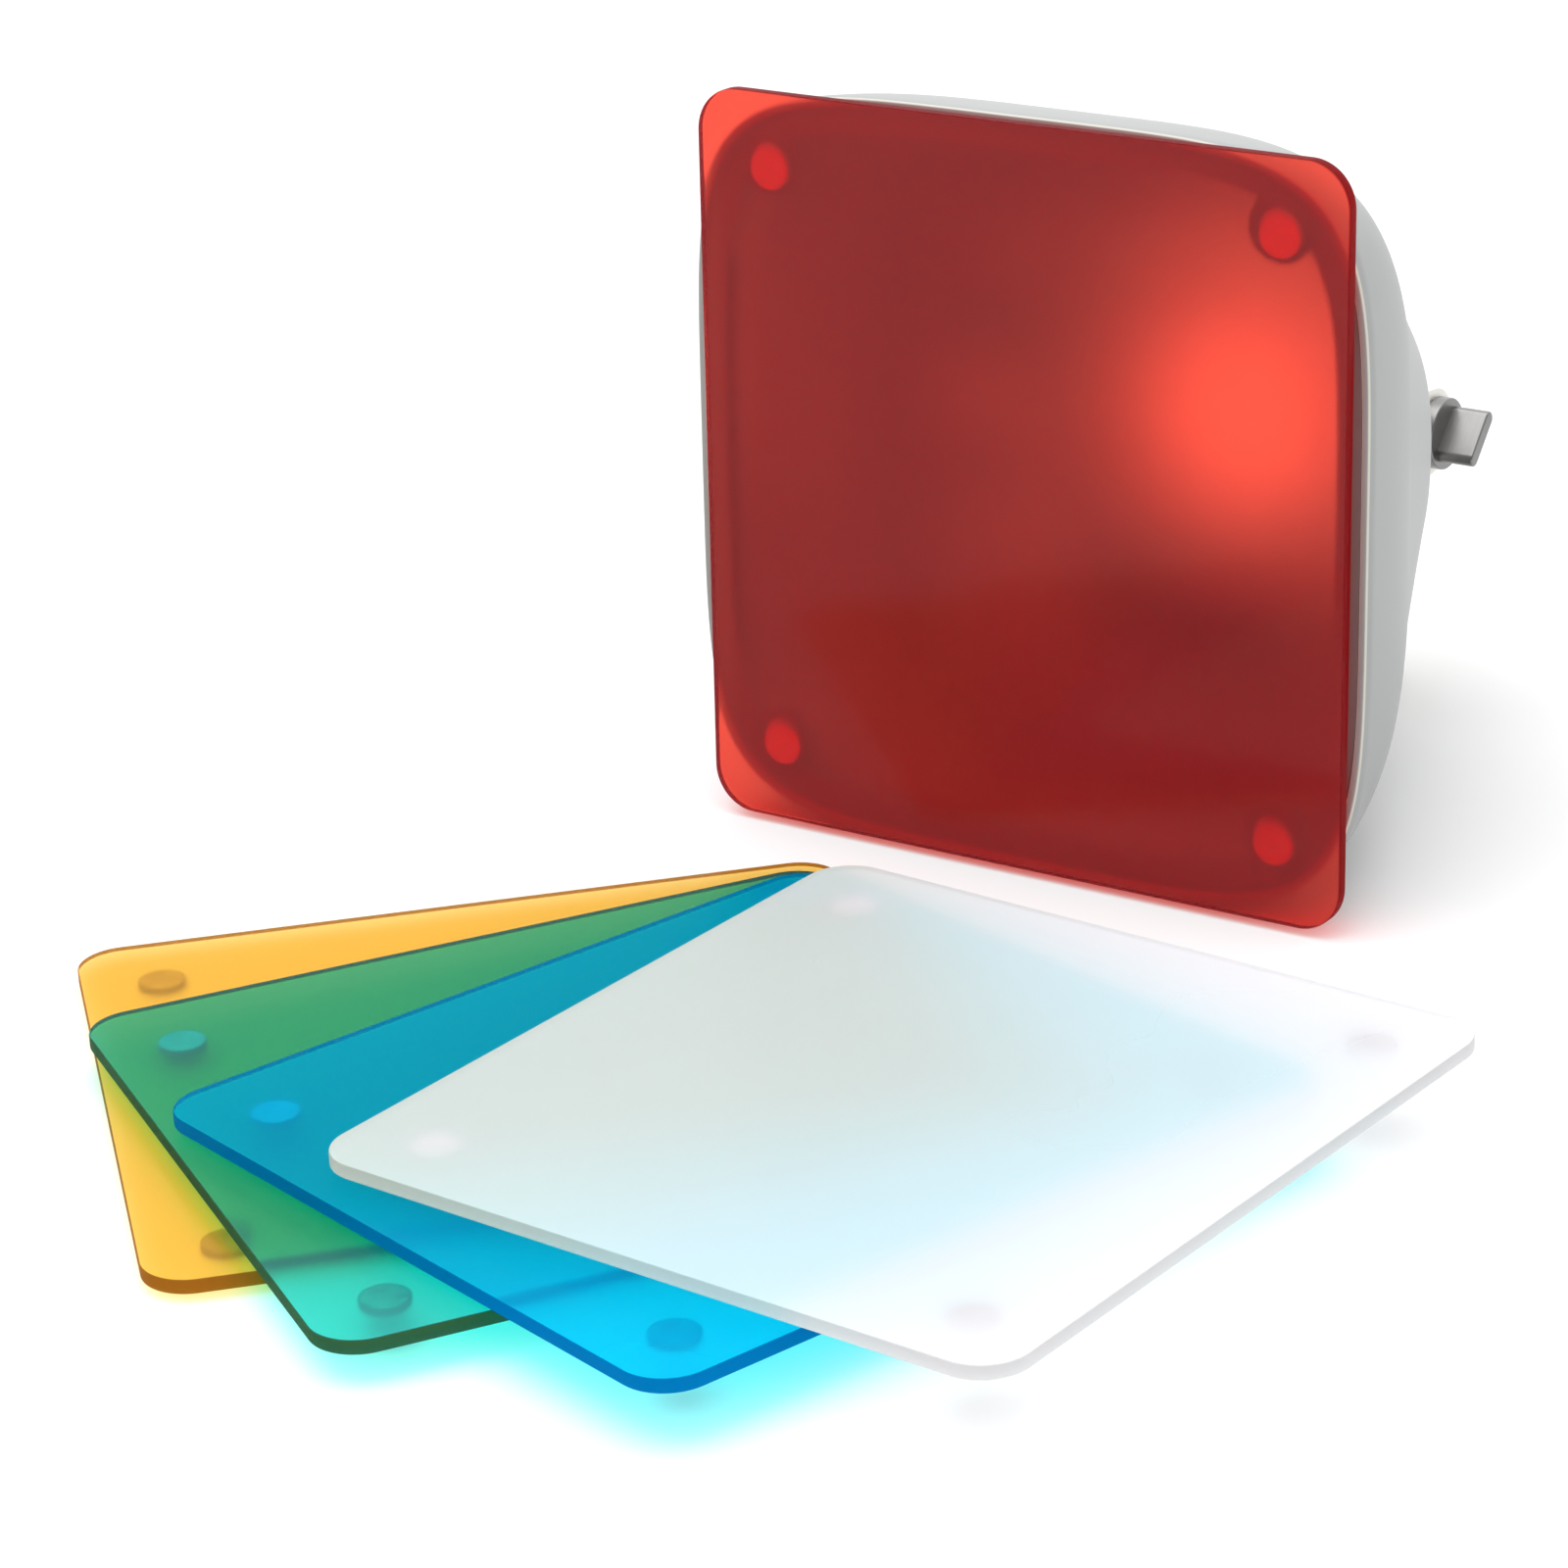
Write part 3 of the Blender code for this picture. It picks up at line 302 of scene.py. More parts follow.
def disc_plating(name, lift=1.0):
    """Nickel plate on a disc about local Z: turned rings, a darker ring round the face's edge that is painted
    shade outlining the disc, and small chips.
    """
    f = Finish(name)
    split = f.add("SeparateXYZ", Vector=f.place)
    x, y = split.outputs[0], split.outputs[1]
    reach = f.math("SQRT", f.math("ADD", f.math("MULTIPLY", x, x), f.math("MULTIPLY", y, y)))
    turned_lines = f.math("SINE", f.math("MULTIPLY", reach, 2 * math.pi / (0.22 * MM)))
    cloud = f.noise(420, 4)
    chips = f.spread(f.noise(1500, 2), 0.70, 0.76)
    rim = f.spread(reach, 4.2 * MM, 4.9 * MM)
    # lift paints the plating lighter or darker; the copy at 1.75 is painted light for the upright discs
    pale, dull = ((tone * lift for tone in tones) for tones in ((0.56, 0.545, 0.52), (0.46, 0.445, 0.42)))
    tone = f.mix(f.spread(cloud, 0.35, 0.7), tuple(dull), tuple(pale))
    # painted shade: a darker ring round the edge of the face outlines the disc
    tone = f.mix(f.math("MULTIPLY", rim, 0.55), tone, (0.28, 0.27, 0.26))
    tone = f.mix(f.math("MULTIPLY", chips, 0.7), tone, (0.16, 0.15, 0.15))
    gloss = f.math("ADD", 0.34, f.math("MULTIPLY", cloud, 0.16))
    height = f.math("ADD", f.math("MULTIPLY", turned_lines, 0.2), f.math("MULTIPLY", cloud, 0.5))
    shader = f.add(
        "BsdfPrincipled", Base_Color=tone, Metallic=0.55, Roughness=gloss,
        Normal=f.bump(height, 0.15, 0.02 * MM),
    )
    return f.done(shader.outputs[0])


def opal(name, glow, throw):
    """Opal plastic lit from inside, with the LED grid just showing. It lights its surroundings throw
    times as strongly as it looks, because the picture can't hold its real brightness."""
    f = Finish(name)
    cells = f.add("TexVoronoi", Vector=f.place, Scale=170.0).outputs["Distance"]
    cloud = f.noise(90, 3)
    tone = f.mix(f.spread(cloud, 0.3, 0.7), (0.90, 0.88, 0.84), (0.95, 0.93, 0.90))
    path = f.add("LightPath")
    looked_at = f.math("MAXIMUM", path.outputs["Is Camera Ray"], path.outputs["Is Transmission Ray"])
    looked_at = f.math("MAXIMUM", looked_at, path.outputs["Is Glossy Ray"])
    power = f.math("ADD", throw * glow, f.math("MULTIPLY", looked_at, glow - throw * glow))
    strength = f.math("MULTIPLY", f.spread(cells, 0.0, 0.9, 1.12, 0.86), power)
    shader = f.add(
        "BsdfPrincipled", Base_Color=tone, Roughness=0.38, Emission_Color=(1.0, 0.96, 0.90),
        Emission_Strength=strength, Normal=f.bump(f.noise(1500, 2), 0.1, 0.04 * MM),
    )
    return f.done(shader.outputs[0])


def rubber(name):
    f = Finish(name)
    grain = f.noise(2200, 3, 0.7)
    bloom = f.spread(f.noise(160, 4), 0.45, 0.75)
    tone = f.mix(f.math("MULTIPLY", bloom, 0.5), (0.016, 0.016, 0.017), (0.06, 0.058, 0.055))
    shader = f.add(
        "BsdfPrincipled", Base_Color=tone, Roughness=f.math("ADD", 0.72, f.math("MULTIPLY", grain, 0.2)),
        Normal=f.bump(grain, 0.35, 0.08 * MM),
    )
    return f.done(shader.outputs[0])


def printed_board(name):
    """White solder mask with pads and tracks just visible under it."""
    f = Finish(name)
    bricks = f.add(
        "TexBrick", Vector=f.place, Scale=300.0, Color1=(0.80, 0.82, 0.80), Color2=(0.86, 0.87, 0.84),
        Mortar=(0.62, 0.66, 0.62), Mortar_Size=0.03,
    )
    tone = f.mix(f.spread(f.noise(500, 3), 0.62, 0.7), bricks.outputs["Color"], (0.70, 0.55, 0.30))
    shader = f.add(
        "BsdfPrincipled", Base_Color=tone, Normal=f.bump(bricks.outputs["Fac"], 0.2, 0.05 * MM),
        Roughness=f.math("ADD", 0.45, f.math("MULTIPLY", f.noise(80), 0.2)),
    )
    return f.done(shader.outputs[0])


def studio_floor(name, tone):
    f = Finish(name)
    cloud = f.spread(f.noise(3, 3), 0.3, 0.7)
    shade = f.mix(cloud, tuple(c * 0.985 for c in tone), tone)
    relief = f.bump(f.noise(900, 2), 0.03, 0.1 * MM)
    shader = f.add("BsdfDiffuse", Color=shade, Roughness=0.6, Normal=relief)
    return f.done(shader.outputs[0])


INWARD = tuple(HEAD.to_3x3() @ Vector((0, 1, 0)))
OUTWARD = tuple(-c for c in INWARD)
FINISH = {
    # its edges are not rubbed (wear 0); the warm colour is only the painted highlight on the front lip
    "housing_grey": moulded(
        "housing_grey", (0.315, 0.327, 0.322), edge_wear_and_highlight=(0.86, 0.80, 0.66), wear=0.0, rim=True,
    ),
    # the housing's grey painted darker for the filter ring and its seat pads: painted shade standing in for the
    # shade behind the red plate
    "ring_grey_painted_shade": moulded("ring_grey_painted_shade", (0.19, 0.195, 0.195), wear=0.5),
    "cover_grey": moulded("cover_grey", (0.355, 0.368, 0.363), wear=0.1),
    "cream_plastic": moulded("cream_plastic", (0.94, 0.91, 0.81), 0.45),
    "black_plastic": moulded("black_plastic", (0.028, 0.028, 0.03), 0.45, 0.3, 0.5),
    "zinc_steel": metal("zinc_steel", (0.62, 0.62, 0.60), 0.32, scale=1400),
    "brushed_steel": metal(
        "brushed_steel", (0.235, 0.232, 0.229), 0.36, brush=(1.0, 0.02, 0.02), streaks=0.25, relief=0.35,
        scale=5200, tarnish=0.1,
    ),
    "aluminium": metal("aluminium", (0.76, 0.77, 0.78), 0.36, streaks=0.2, relief=0.15, scale=1600),
    "nickel": disc_plating("nickel"),
    # the same plating painted 1.75 times lighter: painted light for the upright discs on the fitted plate and in
    # the ring
    "nickel_painted_lighter": disc_plating("nickel_painted_lighter", 1.75),
    "opal": opal("opal", 1.4, 7.5),
    "rubber": rubber("rubber"),
    "white_board": printed_board("white_board"),
    "red_acrylic": acrylic(
        "red_acrylic", (0.97, 0.11, 0.06), (0.90, 0.15, 0.18), 0.12, OUTWARD, rough=0.48, polish=0.08,
        shine=0.3, edge=(0.36, 0.0, 0.01), lit_by=0.86,
    ),
    "amber_acrylic": acrylic(
        "amber_acrylic", (0.985, 0.79, 0.29), (0.96, 0.54, 0.10), 0.10, rough=0.27, shine=0.2,
        edge=(0.62, 0.27, 0.03),
    ),
    "green_acrylic": acrylic(
        "green_acrylic", (0.14, 0.93, 0.80), (0.18, 0.32, 0.55), 0.16, rough=0.27, shine=0.12,
        edge=(0.14, 0.20, 0.05),
    ),
    "blue_acrylic": acrylic(
        "blue_acrylic", (0.04, 0.93, 0.98), (0.0, 0.42, 0.84), 0.32, rough=0.27, shine=0.07,
        edge=(0.0, 0.25, 0.70),
    ),
    "white_acrylic": acrylic(
        "white_acrylic", (0.90, 0.895, 0.90), (0.905, 0.905, 0.94), 0.70, rough=0.36, let_by=0.40,
        edge=(0.93, 0.91, 0.89),
    ),
}


# ---------------------------------------------------------------- mesh helpers


def built(name, bm, slot, body, place, nodes=(), look=None):
    """An object from a bmesh, riding on a body and standing for the given CAD nodes. look names a
    finish that differs from its slot."""
    bmesh.ops.recalc_face_normals(bm, faces=bm.faces)
    mesh = bpy.data.meshes.new(name)
    bm.to_mesh(mesh)
    bm.free()
    mesh.materials.append(FINISH[look or slot])
    piece = bpy.data.objects.new(name, mesh)
    bpy.context.scene.collection.objects.link(piece)
    if slot == "nickel":  # its rings are drawn about the piece's own axis
        piece.matrix_world = place
    else:
        mesh.transform(place)
    soften(piece)
    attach(piece, body)
    if nodes:
        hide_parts(*nodes)
    return piece


def soften(piece):
    """Smooth shading, with edges sharper than SHARP_ANGLE kept crisp."""
    piece.data.shade_smooth()
    piece.data.set_sharp_from_angle(angle=SHARP_ANGLE)
    if "even_normals" not in piece.modifiers:
        piece.modifiers.new("even_normals", "WEIGHTED_NORMAL").keep_sharp = True


def skin(bm, loops, closed=False):
    """Skins rings of points that have the same count; open ends are capped."""
    made = [[bm.verts.new(point) for point in loop] for loop in loops]
    pairs = zip(made, made[1:] + made[:1]) if closed else zip(made, made[1:])
    count = len(made[0])
    for low, high in pairs:
        for i in range(count):
            j = (i + 1) % count
            bm.faces.new((low[i], low[j], high[j], high[i]))
    if not closed:
        bm.faces.new(made[0][::-1])
        bm.faces.new(made[-1])


def eased(points, radius, closed=False):
    """Rounds the corners of an outline."""
    steps = 3
    points = [Vector(point) for point in points]
    out = []
    for i, here in enumerate(points):
        if not closed and i in (0, len(points) - 1):
            out.append(here)
            continue
        back, on = points[i - 1] - here, points[(i + 1) % len(points)] - here
        cut = min(radius, back.length * 0.45, on.length * 0.45)
        start, end = here + back.normalized() * cut, here + on.normalized() * cut
        for step in range(steps + 1):
            t = step / steps
            out.append(start * (1 - t) ** 2 + here * 2 * t * (1 - t) + end * t**2)
    return out


def lathe(profile, sides=64, closed=False, ease=0.3 * MM):
    """A turned bmesh about +Z from (radius, height) points."""
    bm = bmesh.new()
    loops = []
    for radius, height in eased(profile, ease, closed):
        loops.append([
            (radius * math.cos(2 * math.pi * i / sides), radius * math.sin(2 * math.pi * i / sides), height)
            for i in range(sides)
        ])
    skin(bm, loops, closed)
    return bm


def arc(centre, radius, start, end, steps):
    """Points on an arc; start and end in degrees."""
    turns = [math.radians(start + (end - start) * i / steps) for i in range(steps + 1)]
    return [(centre[0] + radius * math.cos(t), centre[1] + radius * math.sin(t)) for t in turns]


def carve(piece, tool, operation):
    """Applies a Boolean at once and removes the tool."""
    step = piece.modifiers.new("carve", "BOOLEAN")
    step.operation, step.object, step.solver = operation, tool, "EXACT"
    ready = piece.evaluated_get(bpy.context.evaluated_depsgraph_get())
    mesh = bpy.data.meshes.new_from_object(ready)
    piece.modifiers.remove(step)
    piece.data = mesh
    bpy.data.objects.remove(tool)


def tool_from(bm, place):
    """A cutter or addition for carve."""
    mesh = bpy.data.meshes.new("tool")
    bmesh.ops.recalc_face_normals(bm, faces=bm.faces)
    bm.to_mesh(mesh)
    bm.free()
    mesh.transform(place)
    tool = bpy.data.objects.new("tool", mesh)
    bpy.context.scene.collection.objects.link(tool)
    return tool


# ---------------------------------------------------------------- housing


def mix_shape(low, high, share):
    """Shape numbers between two shapes."""
    return [a + (b - a) * share for a, b in zip(low, high)]


def shape_at(y):
    """Half-width, half-height, power and drop of the housing's outside at a depth."""
    if y <= BAND_Y:
        return BAND_SHAPE
    if y <= CREASE_Y:
        share = (y - BAND_Y) / (CREASE_Y - BAND_Y)
        a, b, n, drop = mix_shape(BAND_SHAPE, CREASE_SHAPE, share)
        bow = SIDE_BOW * math.sin(math.pi * share)
        return a + bow, b + bow, n, drop * share**DROP_LAG
    share = (y - CREASE_Y) / (DOME_Y - CREASE_Y)
    if y <= DOME_Y:
        return mix_shape(CREASE_SHAPE, DOME_SHAPE, share)
    full = (BACK_Y - CREASE_Y) / (DOME_Y - CREASE_Y)
    a, b = mix_shape(CREASE_SHAPE, DOME_SHAPE, share)[:2]
    over_a, over_b = mix_shape(CREASE_SHAPE, DOME_SHAPE, full)[:2]
    past = (y - DOME_Y) / (BACK_Y - DOME_Y)
    n, drop = mix_shape(DOME_SHAPE, BACK_SHAPE, past)[2:]
    return a - (over_a - BACK_SHAPE[0]) * past**2, b - (over_b - BACK_SHAPE[1]) * past**2, n, drop


def section(y, inset=0.0, shape_y=None):
    """A ring of points round the housing at depth y, or with the shape it has at shape_y."""
    a, b, n, drop = shape_at(y if shape_y is None else shape_y)
    points = []
    for i in range(AROUND):
        turn = 2 * math.pi * (i + 0.5) / AROUND
        across = math.copysign(abs(math.cos(turn)) ** (2 / n), math.cos(turn))
        up = math.copysign(abs(math.sin(turn)) ** (2 / n), math.sin(turn))
        points.append((SHELL_X + (a - inset) * across, y, SHELL_Z - drop + (b - inset) * up))
    return points


def stations(low, high, count):
    """Depths that cut low to high into count parts."""
    return [low + (high - low) * i / count for i in range(count + 1)]


def quarter_turns():
    """Angles that round an edge in four steps."""
    return [math.pi / 2 * i / 4 for i in range(5)]


def rounded_in(y, radius, way):
    """Sections that round an edge: from the face at y to the side, way is +1 or -1 in depth."""
    return [
        section(y + way * radius * (1 - math.cos(t)), radius * (1 - math.sin(t))) for t in quarter_turns()
    ]


def make_front_shell():
    bm = bmesh.new()
    loops = rounded_in(RIM_Y, RIM_EDGE, 1)
    loops += [section(y) for y in stations(RIM_Y + 1.2 * MM, BAND_Y, 2)]
    loops += [section(y) for y in stations(BAND_Y + 1.5 * MM, CREASE_Y - 0.45 * MM, 26)]
    loops += rounded_in(CREASE_Y, CREASE_EDGE, -1)[::-1]
    loops += [section(CREASE_Y, FLANGE), section(CREASE_Y - FLANGE_THICK, FLANGE)]
    loops += [section(y, WALL) for y in stations(CREASE_Y - FLANGE_THICK, 20 * MM, 10)]
    ring_back = RING_Y + RING_THICK + GAP
    loops += [section(ring_back, LEDGE_WIDTH), section(ring_back, RIM_WALL)]
    loops += [section(RIM_Y + 0.5 * MM, RIM_WALL), section(RIM_Y + 0.15 * MM, RIM_WALL - 0.15 * MM)]
    loops += [section(RIM_Y, RIM_WALL - 0.5 * MM)]
    skin(bm, loops, closed=True)
    return built("housing_front", bm, "housing_grey", "head", HEAD, ["front_shell"])


def make_filter_ring():
    bm = bmesh.new()
    back, lip = RING_Y + RING_THICK, RING_Y + RING_THICK + 3 * MM
    outside = RIM_WALL + GAP
    profile = [
        (outside, RING_Y), (outside, back), (OPENING_INSET - COLLAR_WALL, back),
        (OPENING_INSET - COLLAR_WALL, lip), (OPENING_INSET, lip), (OPENING_INSET, RING_Y),
    ]
    skin(bm, [section(p.y, p.x, BAND_Y) for p in eased(profile, 0.5 * MM, True)], closed=True)
    # the ring is drawn in the darker copy of the housing grey: painted shade
    ring = built("seat_ring", bm, "housing_grey", "head", HEAD, ["filter_ring"], "ring_grey_painted_shade")
    for side in (-1, 1):
        wall = SHELL_X + side * (BAND_SHAPE[0] - OPENING_INSET)
        groove = bmesh.new()
        size = (2 * GROOVE_DEPTH, GROOVE_WIDTH, 2 * GROOVE_HALF)
        spot = Matrix.Translation((wall, GROOVE_Y + GROOVE_WIDTH / 2, SHELL_Z))
        bmesh.ops.create_cube(groove, size=1.0, matrix=spot @ Matrix.Diagonal((*size, 1.0)))
        carve(ring, tool_from(groove, HEAD), "DIFFERENCE")
    soften(ring)
    top, seat, foot = RING_Y - PAD_LIFT, RING_Y + SEAT_DEPTH, back - 0.1 * MM
    pad = [
        (CORE, seat), (SEAT_RADIUS, seat), (SEAT_RADIUS, top), (PAD_RADIUS, top), (PAD_RADIUS, foot),
        (CORE, foot),
    ]
    for i in range(1, 5):
        spot = HEAD.inverted() @ middle(f"ring_magnet_{i}")
        place = HEAD @ Matrix.Translation((spot.x, 0, spot.z)) @ ALONG_Y
        bm = lathe(pad, 72, ease=0.35 * MM)
        # the pads are drawn in the darker copy of the housing grey: painted shade
        built(f"seat_pad_{i}", bm, "housing_grey", "head", place, look="ring_grey_painted_shade")


def make_rear_cover():
    bm = bmesh.new()
    front, wall = CREASE_Y + GAP, COVER_WALL
    loops = [section(y, wall) for y in stations(113 * MM, 104 * MM, 3)]
    loops = [section(BACK_Y - wall, wall + 0.4 * MM)] + loops
    loops += [section(y, wall) for y in stations(DOME_Y, front + FLANGE_THICK, 6)]
    loops += [section(front + FLANGE_THICK, FLANGE), section(front, FLANGE)]
    loops += rounded_in(front, CREASE_EDGE, 1)
    loops += [section(y) for y in stations(front + 1.2 * MM, BACK_Y - 1.4 * MM, 26)]
    loops += rounded_in(BACK_Y, BACK_EDGE, -1)[::-1]
    loops += [section(BACK_Y, BACK_FLAT_INSET)]
    skin(bm, loops)
    cover = built("housing_back", bm, "cover_grey", "head", HEAD, ["rear_cover"])
    for z, radius in ((BUTTON_Z, BUTTON_BOSS), (JACK_Z, JACK_BOSS)):
        place = HEAD @ Matrix.Translation((CONTROL_X, CONTROL_Y, z)) @ ALONG_X
        boss = [(CORE, 0), (radius, 0), (radius, BOSS_REACH), (CORE, BOSS_REACH)]
        carve(cover, tool_from(lathe(boss, 72, ease=0.8 * MM), place), "UNION")
    a, b, n, drop = BACK_SHAPE
    for row in range(VENT_ROWS):
        z = VENT_TOP_Z - VENT_PITCH * row
        high = (z - SHELL_Z + drop) / (b - BACK_FLAT_INSET)
        across = VENT_SHARE * 2 * (a - BACK_FLAT_INSET) * (1 - high**n) ** (1 / n)
        vent = bmesh.new()
        spot = Matrix.Translation((SHELL_X, BACK_Y, z))
        size = Matrix.Diagonal((across, 2 * VENT_DEPTH, VENT_WIDTH, 1.0))
        bmesh.ops.create_cube(vent, size=1.0, matrix=spot @ size)
        carve(cover, tool_from(vent, HEAD), "DIFFERENCE")
    for z, radius in ((BUTTON_Z, BUTTON_BORE), (JACK_Z, JACK_BORE)):
        place = HEAD @ Matrix.Translation((CONTROL_X, CONTROL_Y, z)) @ ALONG_X
        bore = [(CORE, BORE_START), (radius, BORE_START), (radius, BORE_END), (CORE, BORE_END)]
        carve(cover, tool_from(lathe(bore, 64, ease=0), place), "DIFFERENCE")
    soften(cover)


# ---------------------------------------------------------------- filter plates


def plate_mesh():
    """A plate about its own centre, lying in X and Y, from Z 0 to its thickness."""

    def outline(inset):
        radius = PLATE_CORNER - inset
        points = []
        for sx, sy, start in ((1, 1, 0), (-1, 1, 90), (-1, -1, 180), (1, -1, 270)):
            centre = (sx * (PLATE_WIDTH / 2 - PLATE_CORNER), sy * (PLATE_HEIGHT / 2 - PLATE_CORNER))
            points += arc(centre, radius, start, start + 90, 20)
        return points

    bm = bmesh.new()
    steps = [(PLATE_BAND, 0.0)]
    steps += [(PLATE_EDGE * (1 - math.sin(t)), PLATE_EDGE * (1 - math.cos(t))) for t in quarter_turns()]
    steps += [(inset, PLATE_THICK - depth) for inset, depth in steps[::-1]]
    skin(bm, [[(a, b, depth) for a, b in outline(inset)] for inset, depth in steps])
    return bm


def disc_mesh():
    """A disc magnet standing on Z 0."""
    profile = [(CORE, 0), (DISC_RADIUS, 0), (DISC_RADIUS, DISC_THICK), (CORE, DISC_THICK)]
    return lathe(profile, 64, ease=0.28 * MM)


def make_plates():
    sunk = Matrix.Translation((0, 0, -DISC_THICK / 2))
    flat = Matrix.Rotation(math.pi / 2, 4, "X")
    spot = middle("red_filter")
    turn = HEAD.to_3x3().to_4x4()
    place = Matrix.Translation(spot) @ turn @ flat @ Matrix.Translation((0, 0, -PLATE_THICK / 2))
    built("red_sheet", plate_mesh(), "red_acrylic", "red_plate", place, ["red_filter"])
    for i in range(1, 5):
        for node, body in ((f"red_disc_{i}", "red_plate"), (f"ring_magnet_{i}", "head")):
            place = Matrix.Translation(middle(node)) @ turn @ ALONG_Y @ sunk
            # these upright discs get the lighter copy of the plating: painted light
            built(f"{node}_turned", disc_mesh(), "nickel", body, place, [node], "nickel_painted_lighter")
    for colour, degrees in FAN_TURN.items():
        turn = Matrix.Rotation(math.radians(degrees + 90), 4, "Z")
        lift = Matrix.Translation((0, 0, -PLATE_THICK / 2))
        place = Matrix.Translation(middle(f"{colour}_filter")) @ turn @ lift
        body = f"{colour}_plate"
        built(f"{colour}_sheet", plate_mesh(), f"{colour}_acrylic", body, place, [f"{colour}_filter"])
        for i in range(1, 5):
            node = f"{colour}_disc_{i}"
            place = Matrix.Translation(middle(node)) @ sunk
            built(f"{node}_turned", disc_mesh(), "nickel", body, place, [node])


# ---------------------------------------------------------------- hinge, knob and controls


def make_knob():
    front = EAR_OUTER + 0.5 * MM
    face, inner = front + KNOB_THICK, STUD_RADIUS + GAP
    profile = [
        (inner, front), (KNOB_RADIUS, front), (KNOB_RADIUS, face), (CORE, face),
        (CORE, front + 2.7 * MM), (inner, front + 2.7 * MM),
    ]
    place = PIVOT @ ALONG_X
    bm = lathe(profile, 96, True, 0.45 * MM)
    reach = (WING_LENGTH - WING_THICK) / 2
    tip, edge = face + WING_REACH, 0.5 * MM
    steps = [(0.0, face - 0.6 * MM), (0.0, face + 0.5 * MM)]
    steps += [(edge * (1 - math.cos(t)), tip - edge + edge * math.sin(t)) for t in quarter_turns()]
    steps += [(0.9 * MM, tip)]
    cos, sin = math.cos(WING_ANGLE), math.sin(WING_ANGLE)
    loops = []
    for inset, height in steps:
        radius = WING_THICK / 2 - inset
        outline = arc((0, reach), radius, 0, 180, 18) + arc((0, -reach), radius, 180, 360, 18)
        # local X of the turned frame is -Z of the head, local Y is the head's Y
        loops.append([(-(b * cos - a * sin), a * cos + b * sin, height) for a, b in outline])
    skin(bm, loops)
    built("clamp_knob", bm, "brushed_steel", "knob", place, ["wing_knob"])


def make_controls():
    place = HEAD @ Matrix.Translation((CONTROL_X, CONTROL_Y, BUTTON_Z)) @ ALONG_X
    button = [
        (CORE, 11.6 * MM), (3.0 * MM, 11.6 * MM), (3.0 * MM, 9.0 * MM), (4.8 * MM, 9.0 * MM),
        (4.8 * MM, -3.0 * MM), (4.4 * MM, -3.6 * MM), (2.6 * MM, -3.4 * MM), (CORE, -3.2 * MM),
    ]
    built("button_cap", lathe(button, 64), "black_plastic", "button", place, ["push_button"])
    place = HEAD @ Matrix.Translation((CONTROL_X, CONTROL_Y, JACK_Z)) @ ALONG_X
    jack = [
        (CORE, 17 * MM), (5.3 * MM, 17 * MM), (5.3 * MM, -0.3 * MM), (7.0 * MM, -0.3 * MM),
        (7.0 * MM, -1.5 * MM), (3.2 * MM, -1.5 * MM), (3.2 * MM, 12 * MM), (1.0 * MM, 12 * MM),
        (1.0 * MM, 1.0 * MM), (CORE, 1.0 * MM),
    ]
    built("socket", lathe(jack, 64, ease=0.2 * MM), "black_plastic", "head", place, ["dc_jack"])


def make_feet():
    for i in range(1, 5):
        low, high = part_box(f"base_foot_{i}")
        spot = (low + high) / 2
        profile = [
            (CORE, 0), (FOOT_RADIUS - FOOT_EDGE, 0), (FOOT_RADIUS, 0.5 * MM), (FOOT_RADIUS, high.z),
            (CORE, high.z),
        ]
        place = Matrix.Translation((spot.x, spot.y, 0))
        built(f"foot_{i}", lathe(profile, 48), "rubber", "stand", place, [f"base_foot_{i}"])


SOFT_EDGES = {  # CAD nodes whose edges are rounded, and how much, in millimetres
    "hinge_block": 0.6, "stand_leg": 0.6, "stand_base": 0.7, "driver_box": 0.6, "lock_nut": 0.3,
}


def finish_cad_nodes():
    """Materials for every CAD node that stays, and softened edges on the moulded and cut ones."""
    slots = {part["node"]: part["material_slot"] for part in frame["record"]["subparts"]}
    for name, node in NODES.items():
        if node.hide_render:
            continue
        node.data.materials.clear()
        node.data.materials.append(FINISH[slots[name]])
        if name in SOFT_EDGES:
            bevel = node.modifiers.new("edge", "BEVEL")
            bevel.width, bevel.segments, bevel.limit_method = SOFT_EDGES[name] * MM, 3, "ANGLE"
            bevel.angle_limit = BEVEL_ANGLE
            node.modifiers.new("even_normals", "WEIGHTED_NORMAL").keep_sharp = True


# ---------------------------------------------------------------- studio


def make_studio():
    bpy.ops.mesh.primitive_circle_add(vertices=96, radius=FLOOR_RADIUS, fill_type="NGON")
    floor = bpy.context.object
    floor.name = "floor"
    floor.data.materials.append(studio_floor("floor", (0.90, 0.90, 0.905)))

    right, away = Vector((0.836, 0.548, 0)), Vector((-0.56, 0.828, 0))
    bpy.context.scene.world = studio_world("studio", away, 0.95)
    light = bpy.data.lights.new("key", "AREA")
    light.shape, light.size, light.energy = "DISK", KEY_SIZE, KEY_POWER
    key = bpy.data.objects.new("key", light)
    bpy.context.scene.collection.objects.link(key)
    key.location = -right * 0.3 - away * 0.1 + Vector((0, 0, KEY_HEIGHT))
    key.rotation_euler = (Vector((0, 0, 0.05)) - key.location).to_track_quat("-Z", "Y").to_euler()


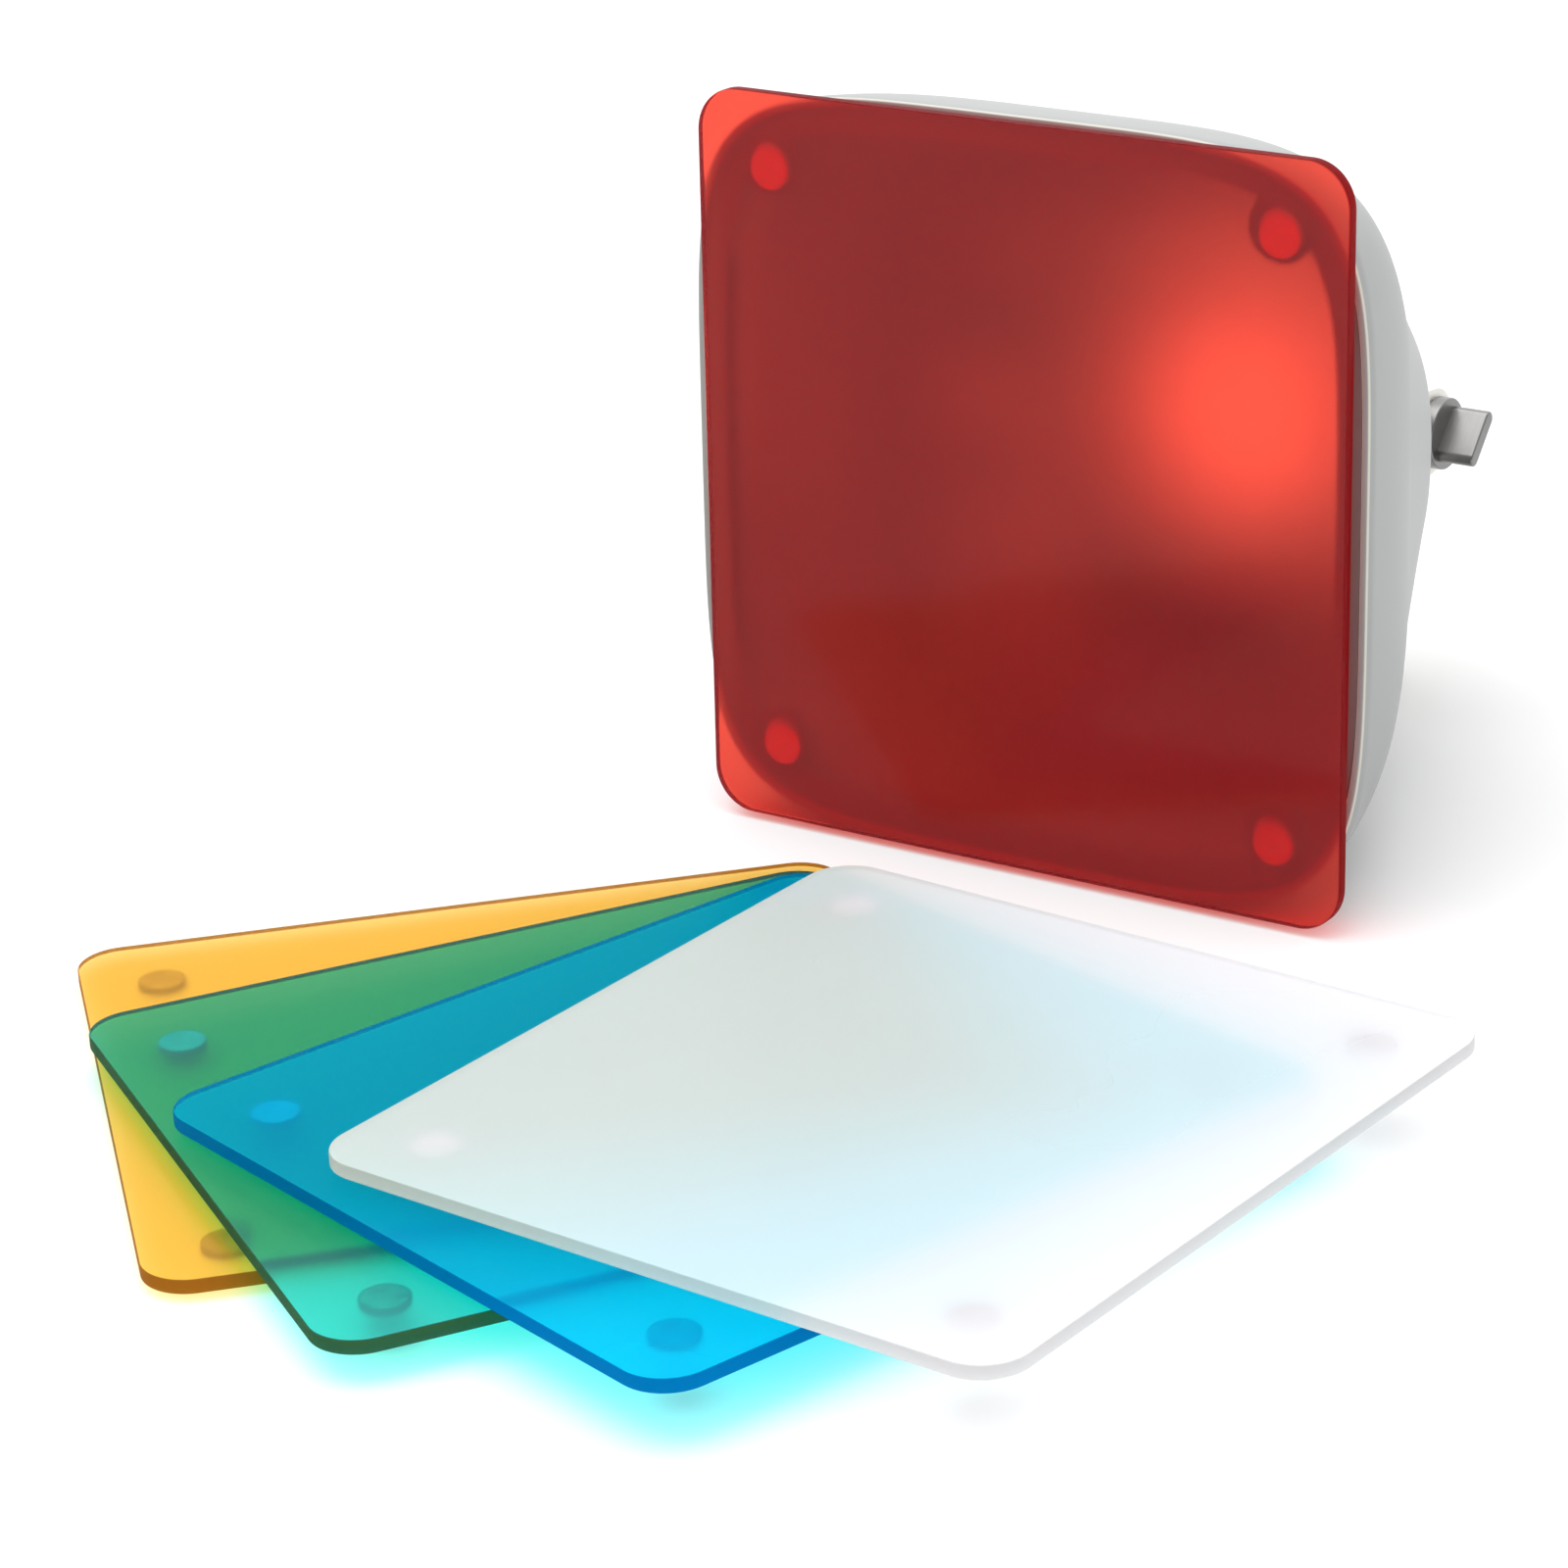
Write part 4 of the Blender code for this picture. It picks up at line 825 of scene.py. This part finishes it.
def studio_world(name, away, strength):
    """White all round for the light it gives. In reflections the side behind the camera is dim."""
    world = bpy.data.worlds.new(name)
    world.use_nodes = True
    tree = world.node_tree

    def add(kind, *values):
        node = tree.nodes.new("ShaderNode" + kind)
        for socket, value in zip(node.inputs, values):
            if isinstance(value, bpy.types.NodeSocket):
                tree.links.new(value, socket)
            elif value is not None:
                socket.default_value = value
        return node

    sky = tree.nodes["Background"]
    facing = add("VectorMath", add("TexCoord").outputs["Generated"], tuple(away + Vector((0, 0, 0.9))))
    facing.operation = "DOT_PRODUCT"
    dim = add("MapRange", facing.outputs["Value"], -0.5, 0.8, 0.16 * strength, 1.7 * strength)
    glossy = add("LightPath").outputs["Is Glossy Ray"]
    blend = add("Mix", glossy, None, strength, dim.outputs[0])
    tree.links.new(blend.outputs[0], sky.inputs["Strength"])
    sky.inputs["Color"].default_value = (1.0, 1.0, 1.0, 1.0)
    return world


def make_camera():
    """At the photograph's viewing angle: 22 degrees down, turned 35 degrees from the lamp's axis."""
    data = bpy.data.cameras.new("camera")
    data.lens, data.sensor_width = CAMERA_LENS, 36.0
    data.clip_start, data.clip_end = 0.01, 20.0
    camera = bpy.data.objects.new("camera", data)
    bpy.context.scene.collection.objects.link(camera)
    pitch, heading, roll = CAMERA_PITCH, CAMERA_HEADING, CAMERA_ROLL
    level = Vector((-math.sin(heading), math.cos(heading), 0))
    ahead = level * math.cos(pitch) + Vector((0, 0, math.sin(pitch)))
    right = Vector((math.cos(heading), math.sin(heading), 0))
    above = right.cross(ahead)
    right, above = (
        right * math.cos(roll) + above * math.sin(roll), above * math.cos(roll) - right * math.sin(roll)
    )
    turn = Matrix((right, above, -ahead)).transposed()
    camera.matrix_world = Matrix.Translation(CAMERA_SPOT) @ turn.to_4x4()
    bpy.context.scene.camera = camera


make_front_shell()
make_filter_ring()
make_rear_cover()
make_plates()
make_knob()
make_controls()
make_feet()
finish_cad_nodes()
make_studio()
make_camera()

view = bpy.context.scene.view_settings
view.view_transform, view.look, view.exposure, view.gamma = "Standard", "None", 0.0, 1.0
bpy.context.scene.cycles.transparent_max_bounces = 32

bpy.context.view_layer.update()
